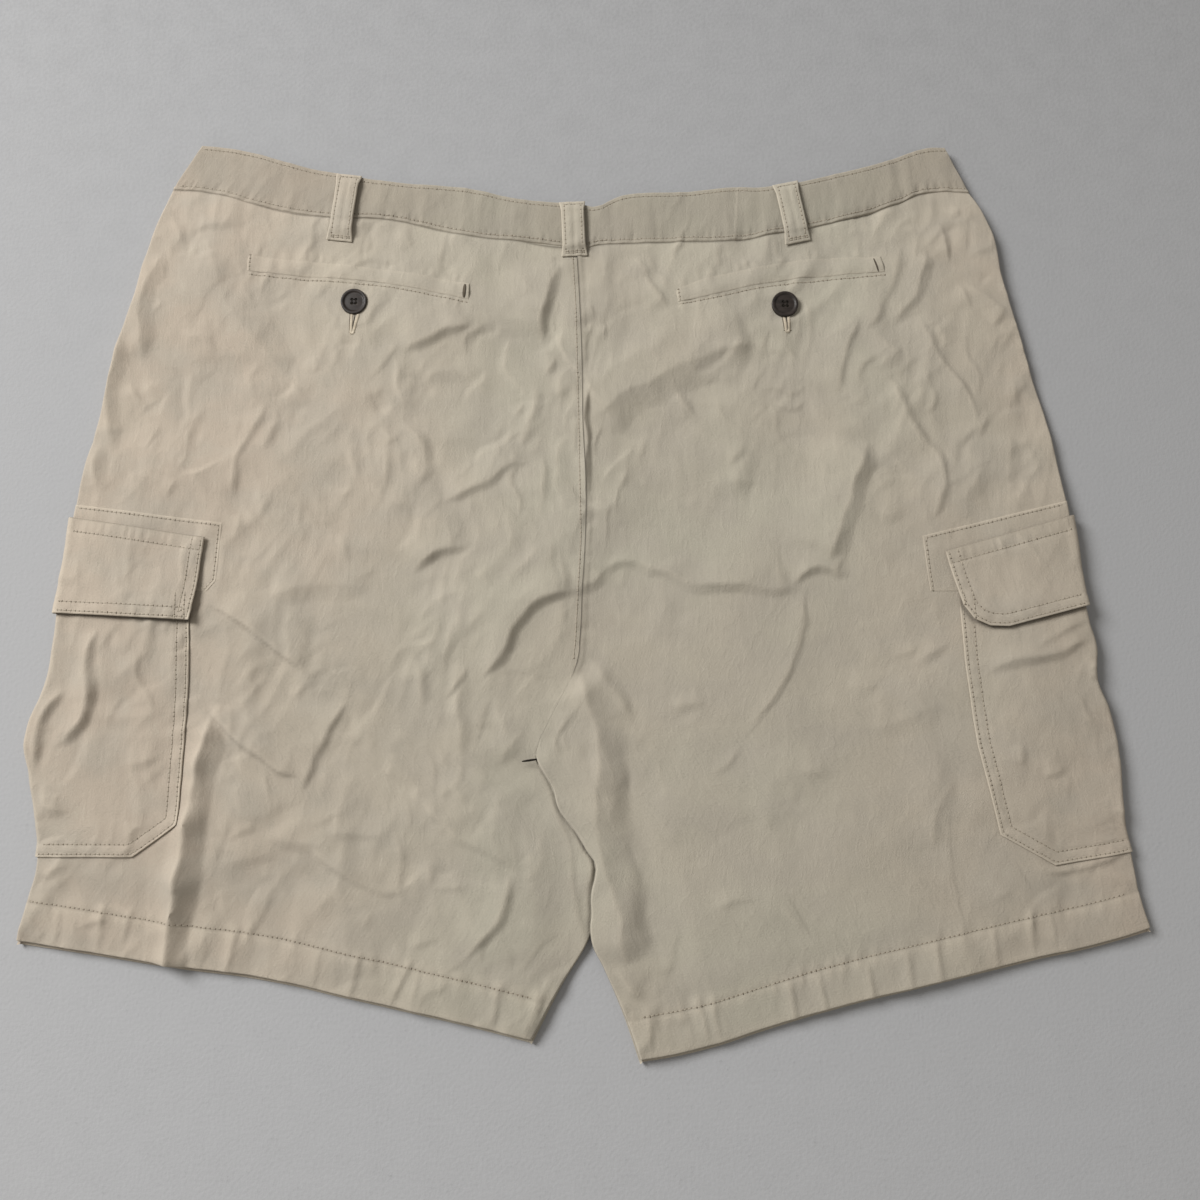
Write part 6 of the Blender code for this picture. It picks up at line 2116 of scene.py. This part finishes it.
def make_button(name, place, base, depth, face_down=False):
    """A turned four-hole button with a raised rim and a dished middle."""
    clear_selection()
    radius = bpy.context.scene.shorts_buttons.diameter / 2.0
    bpy.ops.mesh.primitive_cylinder_add(vertices=BUTTON_SIDES, radius=radius, depth=depth * MM)
    made = bpy.context.object
    made.name = f"{name}_resin"
    bpy.ops.object.mode_set(mode="EDIT")
    bpy.ops.mesh.select_mode(type="FACE")
    bpy.ops.mesh.select_all(action="DESELECT")
    bpy.ops.object.mode_set(mode="OBJECT")
    select_top_face(made.data)
    bpy.ops.object.mode_set(mode="EDIT")
    for width, rise in ((RIM_WIDTH, 0.0), (DISH_WIDTH, -DISH_DEPTH), (MOUND_WIDTH, MOUND_RISE)):
        bpy.ops.mesh.inset(thickness=width * MM, depth=rise * MM)
    bpy.ops.object.mode_set(mode="OBJECT")
    edge = made.modifiers.new("Rounding", "BEVEL")
    edge.width = ROUNDING * MM
    edge.segments = ROUNDING_STEPS
    edge.limit_method = "ANGLE"
    edge.angle_limit = CORNER
    apply_modifier(made, edge)
    spread = HOLE_SPACING / 2.0
    centres = [(x, y) for x in (-spread, spread) for y in (-spread, spread)]
    drill(made, centres, depth)
    make_active(made)
    bpy.ops.object.shade_smooth_by_angle(angle=BUTTON_SMOOTH)
    if face_down:
        made.rotation_euler = (math.pi, 0.0, 0.0)
    made.location = to_frame((place.x, place.y, base + depth / 2.0))
    bpy.ops.object.transform_apply(location=True, rotation=True, scale=True)
    made.data.materials.append(material_once("resin", resin_finish))
    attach(made, BODY)
    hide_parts(name)
    return [(place.x + x, place.y + y) for x, y in centres]


def button_base(name):
    low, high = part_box(name)
    return low[2] / MM, (high[2] - low[2]) / MM


def thread_button(laid, holes, level, face_down):
    """Four strands of thread, one along each side of the square of holes."""
    strand = bead()
    up = np.array([0.0, 0.0, -1.0 if face_down else 1.0])
    for first, last in STRANDS:
        start, end = np.array([*holes[first], level]), np.array([*holes[last], level])
        size = np.array([np.linalg.norm(end - start) + STRAND_LONGER, STRAND_WIDE, STRAND_TALL])
        moved = (start + end) / 2.0 - np.array([MIDDLE.x, MIDDLE.y, 0.0])
        laid.add(strand, lay(end - start, up, moved, strand.points * size), 1.0)


# Where a buttonhole shows below its button: its upper and lower end, and its width at both
Buttonhole = namedtuple("Buttonhole", "upper lower wide narrow")
BUTTONHOLES = {
    "left": Buttonhole(Point(-154.6, 179.5), Point(-156.3, 166.8), 6.2, 3.0),
    "right": Buttonhole(Point(139.6, 178.0), Point(140.2, 168.2), 4.4, 3.6),
}
HOLE_BITE, BITE_OUT = 2.3, 0.4  # length of each stitch across a buttonhole's edge, and how far it lies out
HOLE_PITCH = 0.6
END_TURNS, END_ROUND = 8, 0.35  # stitches round the lower end, and their distance as a share of its width
BITE_THICKER, BITE_UP = 1.3, 0.15
SLIT, OUTLINE = 0.9, 0.55  # mm wide: the slit, and the shadow round the stitches on the left
OUTLINE_OUT = 0.5
BAR = 0.5  # the dark bar that closes a buttonhole stands this far past its end
SLIT_SHADE, OUTLINE_SHADE = 0.85, 0.6

# The open end of each welt, and the gap where the legs part: dark slots of painted shade laid on the cloth
Slot = namedtuple("Slot", "start end width shade")
WELT_SLOTS = {
    "left": Slot(Point(-80.6, 191.6), Point(-80.0, 200.4), 2.6, 0.55),
    "right": Slot(Point(203.6, 210.6), Point(200.9, 219.4), 1.3, 0.65),
}
CROTCH_GAP = Slot(Point(-37.5, -122.3), Point(-27.8, -120.9), 1.5, 1.0)
SLOT_STEP, SLOT_BEADS, SLOT_OVERLAP = 0.8, 3, 2.2
SLOT_TALL, SLOT_UP, SLOT_NARROWS = 0.5, 0.05, 0.5


def sew_buttonhole(sewn, opening_shade, seat, hole_):
    """Close stitches beside a slit that narrows to its lower end; the slit and the shadow round the stitches
    as painted shade, and the dark bar that ends it.
    """
    upper, lower = np.array(hole_.upper), np.array(hole_.lower)
    length, toward, right = line_frame(upper, lower)
    strand = bead()
    thick = bpy.context.scene.shorts_thread.thickness / MM
    places = []
    for step in range(int(length / HOLE_PITCH)):
        share = (step + 0.5) * HOLE_PITCH / length
        wide = hole_.wide * (1.0 - share) + hole_.narrow * share
        reach = 0.5 * wide - 0.5 * HOLE_BITE + BITE_OUT
        for side in (-1.0, 1.0):
            places.append((upper + (lower - upper) * share + right * side * reach, right * side))
    for turn in np.linspace(-math.pi / 2.0, math.pi / 2.0, END_TURNS):
        out = right * math.sin(turn) + toward * math.cos(turn)
        places.append((lower + out * END_ROUND * hole_.narrow, out))
    for place, out in places:
        hit = seat.at(*place)
        if hit is None:
            continue
        axis = np.array([*out, 0.0]) - hit[1] * float(np.dot(hit[1], [*out, 0.0]))
        size = np.array([HOLE_BITE, thick * BITE_THICKER, thick * BITE_THICKER])
        sewn.add(strand, lay(axis, hit[1], hit[0] + hit[1] * BITE_UP, strand.points * size), 0.0)
    outer, inner = (right * (0.5 * width + OUTLINE_OUT) for width in (hole_.wide, hole_.narrow))
    bar = toward * BAR
    dark_slot(opening_shade, seat, Slot(upper, lower - toward, SLIT, SLIT_SHADE))
    dark_slot(opening_shade, seat, Slot(upper + outer, lower + inner, OUTLINE, OUTLINE_SHADE))
    dark_slot(opening_shade, seat, Slot(lower + bar - inner, lower + bar + inner, OUTLINE, OUTLINE_SHADE))


def dark_slot(opening_shade, seat, slot):
    """Painted shade in an opening: dark flat beads that overlap along it."""
    pit = bead()
    start, run = np.array(slot.start), np.subtract(slot.end, slot.start)
    length = float(np.linalg.norm(run))
    count = max(SLOT_BEADS, int(length / SLOT_STEP))
    for share in (np.arange(count) + 0.5) / count:
        hit = seat.at(*(start + run * share))
        if hit is None:
            raise RuntimeError("a dark slot lies off the cloth")
        narrow = 1.0 - SLOT_NARROWS * abs(2.0 * share - 1.0) ** 3
        size = np.array([SLOT_OVERLAP * length / count, slot.width * narrow, SLOT_TALL])
        placed = lay(np.array([*run, 0.0]), hit[1], hit[0] + hit[1] * SLOT_UP, pit.points * size)
        opening_shade.add(pit, placed, slot.shade)


# The stage

CAMERA_PLACE = (0.0115, -0.11078, 0.68328)
CAMERA_TILT = math.radians(8.0)
CAMERA_LENS = 31.177
SENSOR = 36.0
CLIP = (0.01, 20.0)
FLOOR_SIDE = 6.0
KEY_PLACE = (-1.8, 1.12, 1.7)
KEY_SIZE = 1.25
KEY_COLOUR = (1.0, 1.0, 0.995)
AMBIENT_COLOUR = (1.0, 0.965, 0.905, 1.0)


def floor_finish(name):
    """Pale matt ground with a fine mottle, and a painted light falloff that makes it paler towards the viewer.
    """
    look = bpy.context.scene.shorts_stage
    finish = Finish(name)
    place = finish.place()
    mottle, cloud = finish.noise(place, 420.0, 4.0), finish.noise(place, 60.0, 4.0)
    # painted light falloff: paler towards the viewer, darker away from it
    far = finish.between(-0.5, 0.5, finish.part(place, 1))
    pale = finish.between(0.3, 0.7, mottle * 0.6 + cloud * 0.4) * 0.6
    speck = finish.between(0.62, 0.78, mottle * 0.7 + cloud * 0.3) * 0.4
    colour = finish.mix(far, opaque(look.floor, 1.38), opaque(look.floor, 0.84))
    colour = finish.mix(pale, colour, opaque(look.floor, 1.15))
    colour = finish.mix(speck, colour, opaque(look.floor, 0.7))
    finish.surface(base_color=colour, roughness=0.9)
    finish.bump(mottle, 0.0006, 0.35)
    return finish.material


def area_light(name, place, size, power, colour):
    light = bpy.data.lights.new(name, "AREA")
    light.shape = "DISK"
    light.size = size
    light.energy = power
    light.color = colour
    made = bpy.data.objects.new(name, light)
    made.location = place
    made.rotation_euler = (-Vector(place)).to_track_quat("-Z", "Y").to_euler()
    bpy.context.scene.collection.objects.link(made)


# Settings

def colour_of(name, description, colour):
    return FloatVectorProperty(
        name=name, description=description, subtype="COLOR", size=3, min=0.0, max=1.0, default=colour
    )


def length_of(name, description, length, least):
    return FloatProperty(
        name=name, description=description, unit="LENGTH", default=length, min=least, precision=5
    )


class ClothSettings(bpy.types.PropertyGroup):
    colour: colour_of("Cloth", "Main colour of the twill", (0.398, 0.368, 0.298))
    second_colour: colour_of("Second tone", "Colour of the twill's soft patches", (0.425, 0.36, 0.29))
    stain_colour: colour_of("Faint stains", "Colour of the duller patches", (0.375, 0.338, 0.282))
    # rubbing and painted highlight: the twill is mixed towards this colour along edges and crests
    rubbed_and_highlight_colour: colour_of("Worn edges", "Colour of the twill where it has rubbed", (0.56, 0.49, 0.39))
    # painted shade: the twill is mixed towards this colour under the waistband, along seams, hems and pressed
    # folds, by the leg that laps over, round the flaps and over the band
    shade_colour: colour_of("Deep shade", "Colour inside openings of the cloth", (0.05, 0.04, 0.03))
    wale_pitch: length_of("Wale pitch", "From one diagonal of the weave to the next", 0.00062, 0.0002)


class ThreadSettings(bpy.types.PropertyGroup):
    colour: colour_of("Thread", "Colour of the sewing thread", (0.40, 0.35, 0.275))
    # painted shade: needle holes, the ends of stitches, and the shallower shade in openings
    hole_shade_colour: colour_of("Needle holes", "Colour of the dents between stitches", (0.2, 0.165, 0.122))
    # also the colour of the painted shade inside openings
    dark: colour_of("Dark thread", "Colour of the buttons' thread and of openings", (0.016, 0.013, 0.010))
    stitch_length: length_of("Stitch length", "Length of thread that shows at each stitch", 0.0021, 0.001)
    stitch_gap: length_of("Stitch gap", "Gap from one stitch to the next", 0.0009, 0.0001)
    thickness: length_of("Thread thickness", "Thickness of the sewing thread", 0.00055, 0.0002)


class ButtonSettings(bpy.types.PropertyGroup):
    colour: colour_of("Resin", "Colour of the buttons", (0.018, 0.0135, 0.011))
    cloud_colour: colour_of("Resin clouds", "Paler clouds in the buttons", (0.032, 0.024, 0.02))
    diameter: length_of("Diameter", "Diameter of a button", 0.018, 0.008)


class StageSettings(bpy.types.PropertyGroup):
    floor: colour_of("Floor", "Colour of the floor", (0.311, 0.312, 0.318))
    key_power: FloatProperty(
        name="Key light", description="Power of the large soft light", unit="POWER", default=93.0, min=0.0
    )
    ambient: FloatProperty(
        name="Ambient light", description="Strength of the even light", default=0.35, min=0.0
    )


# Operators

class SHORTS_OT_back_panels(bpy.types.Operator):
    """Make the two creased back panels."""

    bl_idname = "shorts.back_panels"
    bl_label = "Back panels"

    def execute(self, context):
        for leg in LEGS.values():
            make_panel(leg, front=False)
        return {"FINISHED"}


class SHORTS_OT_front_panels(bpy.types.Operator):
    """Make the two front panels that lie on the surface."""

    bl_idname = "shorts.front_panels"
    bl_label = "Front panels"

    def execute(self, context):
        for leg in LEGS.values():
            make_panel(leg, front=True)
        return {"FINISHED"}


class SHORTS_OT_waistband(bpy.types.Operator):
    """Make the back band and the two halves of the front one."""

    bl_idname = "shorts.waistband"
    bl_label = "Waistband"

    def execute(self, context):
        for run in BAND_RUNS:
            make_band(*run)
        return {"FINISHED"}


class SHORTS_OT_belt_loops(bpy.types.Operator):
    """Make the three belt loops on the back and the two on the front."""

    bl_idname = "shorts.belt_loops"
    bl_label = "Belt loops"

    def execute(self, context):
        for name, (start, end) in LOOPS_BACK.items():
            make_back_loop(name, start, end)
        for name, middle in FRONT_LOOPS.items():
            make_front_loop(name, middle)
        return {"FINISHED"}


class SHORTS_OT_welts(bpy.types.Operator):
    """Make the welts of the two back pockets."""

    bl_idname = "shorts.welts"
    bl_label = "Back pocket welts"

    def execute(self, context):
        for name in WELTS:
            make_welt(name)
        return {"FINISHED"}


FACING_WALL, POCKET_WALL, FLAP_WALL = 0.5, 1.1, 1.3


class SHORTS_OT_cargo_pockets(bpy.types.Operator):
    """Make the facing, the pocket and the flap on each outseam."""

    bl_idname = "shorts.cargo_pockets"
    bl_label = "Cargo pockets"

    def execute(self, context):
        for name, leg in LEGS.items():
            make_wrapped("pocket_facing", leg, FACINGS[name], facing_out(leg), FACING_WALL)
            make_wrapped("cargo_pocket", leg, POCKETS[name], pocket_out(leg), POCKET_WALL)
            make_wrapped("pocket_flap", leg, FLAPS[name], flap_out(leg), FLAP_WALL)
        return {"FINISHED"}


class SHORTS_OT_buttons(bpy.types.Operator):
    """Make the three buttons, their thread and the buttonholes, with painted shade in the welts' open ends and
    where the legs part.
    """

    bl_idname = "shorts.buttons"
    bl_label = "Buttons and buttonholes"

    def execute(self, context):
        laid, sewn, opening_shade = Scatter(), Scatter(), Scatter()
        for name, place in BACK_BUTTONS.items():
            base, depth = button_base(f"back_button_{name}")
            holes = make_button(f"back_button_{name}", place, base, depth)
            thread_button(laid, holes, base + depth - DISH_DEPTH + STRAND_UP, False)
            seat = Seat(f"back_panel_{name}_cloth", f"back_welt_{name}_cloth")
            sew_buttonhole(sewn, opening_shade, seat, BUTTONHOLES[name])
            dark_slot(opening_shade, seat, WELT_SLOTS[name])
        dark_slot(opening_shade, Seat(*[f"back_panel_{name}_cloth" for name in LEGS]), CROTCH_GAP)
        base, depth = button_base("front_button")
        base = max(base, LOWEST)
        holes = make_button("front_button", FRONT_BUTTON, base, depth, face_down=True)
        thread_button(laid, holes, base + DISH_DEPTH - STRAND_UP, True)
        laid.object("button_thread", material_once("dark_thread", dark_and_shade_finish), "button")
        sewn.object("buttonholes", material_once("pale_thread", highlit_thread_finish), "twill")
        opening_shade.object("opening_shade", material_once("dark_thread", dark_and_shade_finish), "twill")
        return {"FINISHED"}


# painted shade in the needle holes
CENTRE_HOLE_SHADE, HEM_HOLE_SHADE = 0.3, 1.4  # how dark the needle holes are beside the usual


def cloths(names, *pieces):
    """Names of the cloth meshes of some pieces on some sides."""
    return [f"{piece}_{name}_cloth" for name in names for piece in pieces]


class SHORTS_OT_stitching(bpy.types.Operator):
    """Sew every seam that shows."""

    bl_idname = "shorts.stitching"
    bl_label = "Stitching"

    def execute(self, context):
        backs = cloths(LEGS, "back_panel")
        bands = [f"{name}_cloth" for name, _, _ in BAND_RUNS]
        loops = cloths(LOOPS_BACK, "belt_loop_back") + cloths(FRONT_LOOPS, "belt_loop_front")
        sew("stitching_centre", centre_rows(), Seat(*backs), CENTRE_HOLE_SHADE)
        sew("stitching_hems", hem_rows(), Seat(*backs), HEM_HOLE_SHADE)
        sew("stitching_front", front_rows(), Seat(*cloths(LEGS, "front_panel")))
        sew("stitching_waistband", band_rows(), Seat(*bands))
        sew("stitching_belt_loops", loop_rows(), Seat(*loops))
        sew("stitching_welts", welt_rows(), Seat(*backs, *cloths(WELTS, "back_welt")))
        for name, leg in LEGS.items():
            cargo = cloths([name], "pocket_facing", "cargo_pocket", "pocket_flap")
            sew(f"stitching_cargo_{name}", cargo_rows(leg), Seat(*cargo))
        return {"FINISHED"}


class SHORTS_OT_stage(bpy.types.Operator):
    """Make the floor, the soft lights and the camera."""

    bl_idname = "shorts.stage"
    bl_label = "Stage"

    def execute(self, context):
        look = context.scene.shorts_stage
        clear_selection()
        bpy.ops.mesh.primitive_plane_add(size=FLOOR_SIDE)
        floor = context.object
        floor.name = "floor"
        floor.data.materials.append(material_once("pale_floor", floor_finish))
        area_light("key", KEY_PLACE, KEY_SIZE, look.key_power, KEY_COLOUR)
        world = bpy.data.worlds.new("studio")
        world.use_nodes = True
        background = world.node_tree.nodes["Background"]
        background.inputs["Color"].default_value = AMBIENT_COLOUR
        background.inputs["Strength"].default_value = look.ambient
        context.scene.world = world
        lens = bpy.data.cameras.new("camera")
        lens.lens = CAMERA_LENS
        lens.sensor_width = SENSOR
        lens.clip_start, lens.clip_end = CLIP
        camera = bpy.data.objects.new("camera", lens)
        camera.location = CAMERA_PLACE
        camera.rotation_euler = (CAMERA_TILT, 0.0, 0.0)
        context.scene.collection.objects.link(camera)
        context.scene.camera = camera
        context.scene.view_settings.view_transform = "Standard"
        return {"FINISHED"}


class SHORTS_PT_panel(bpy.types.Panel):
    """Lists the pieces and their settings."""

    bl_idname = "SHORTS_PT_panel"
    bl_label = "Cargo shorts"
    bl_space_type = "VIEW_3D"
    bl_region_type = "UI"
    bl_category = "Shorts"

    def draw(self, context):
        for operator in OPERATORS:
            self.layout.operator(operator.bl_idname)
        for name in SETTINGS:
            box = self.layout.box()
            group = getattr(context.scene, name)
            for label in group.__annotations__:
                box.prop(group, label)


SETTINGS = {
    "shorts_cloth": ClothSettings,
    "shorts_thread": ThreadSettings,
    "shorts_buttons": ButtonSettings,
    "shorts_stage": StageSettings,
}
OPERATORS = (
    SHORTS_OT_stage,
    SHORTS_OT_back_panels,
    SHORTS_OT_front_panels,
    SHORTS_OT_waistband,
    SHORTS_OT_belt_loops,
    SHORTS_OT_welts,
    SHORTS_OT_cargo_pockets,
    SHORTS_OT_buttons,
    SHORTS_OT_stitching,
)


def register():
    for kind in (*SETTINGS.values(), *OPERATORS, SHORTS_PT_panel):
        bpy.utils.register_class(kind)
    for name, kind in SETTINGS.items():
        setattr(bpy.types.Scene, name, PointerProperty(type=kind))


def unregister():
    for name in SETTINGS:
        delattr(bpy.types.Scene, name)
    for kind in (SHORTS_PT_panel, *OPERATORS, *SETTINGS.values()):
        bpy.utils.unregister_class(kind)


def main():
    register()
    for operator in OPERATORS:
        group, name = operator.bl_idname.split(".")
        getattr(getattr(bpy.ops, group), name)()


if __name__ == "__main__":
    main()
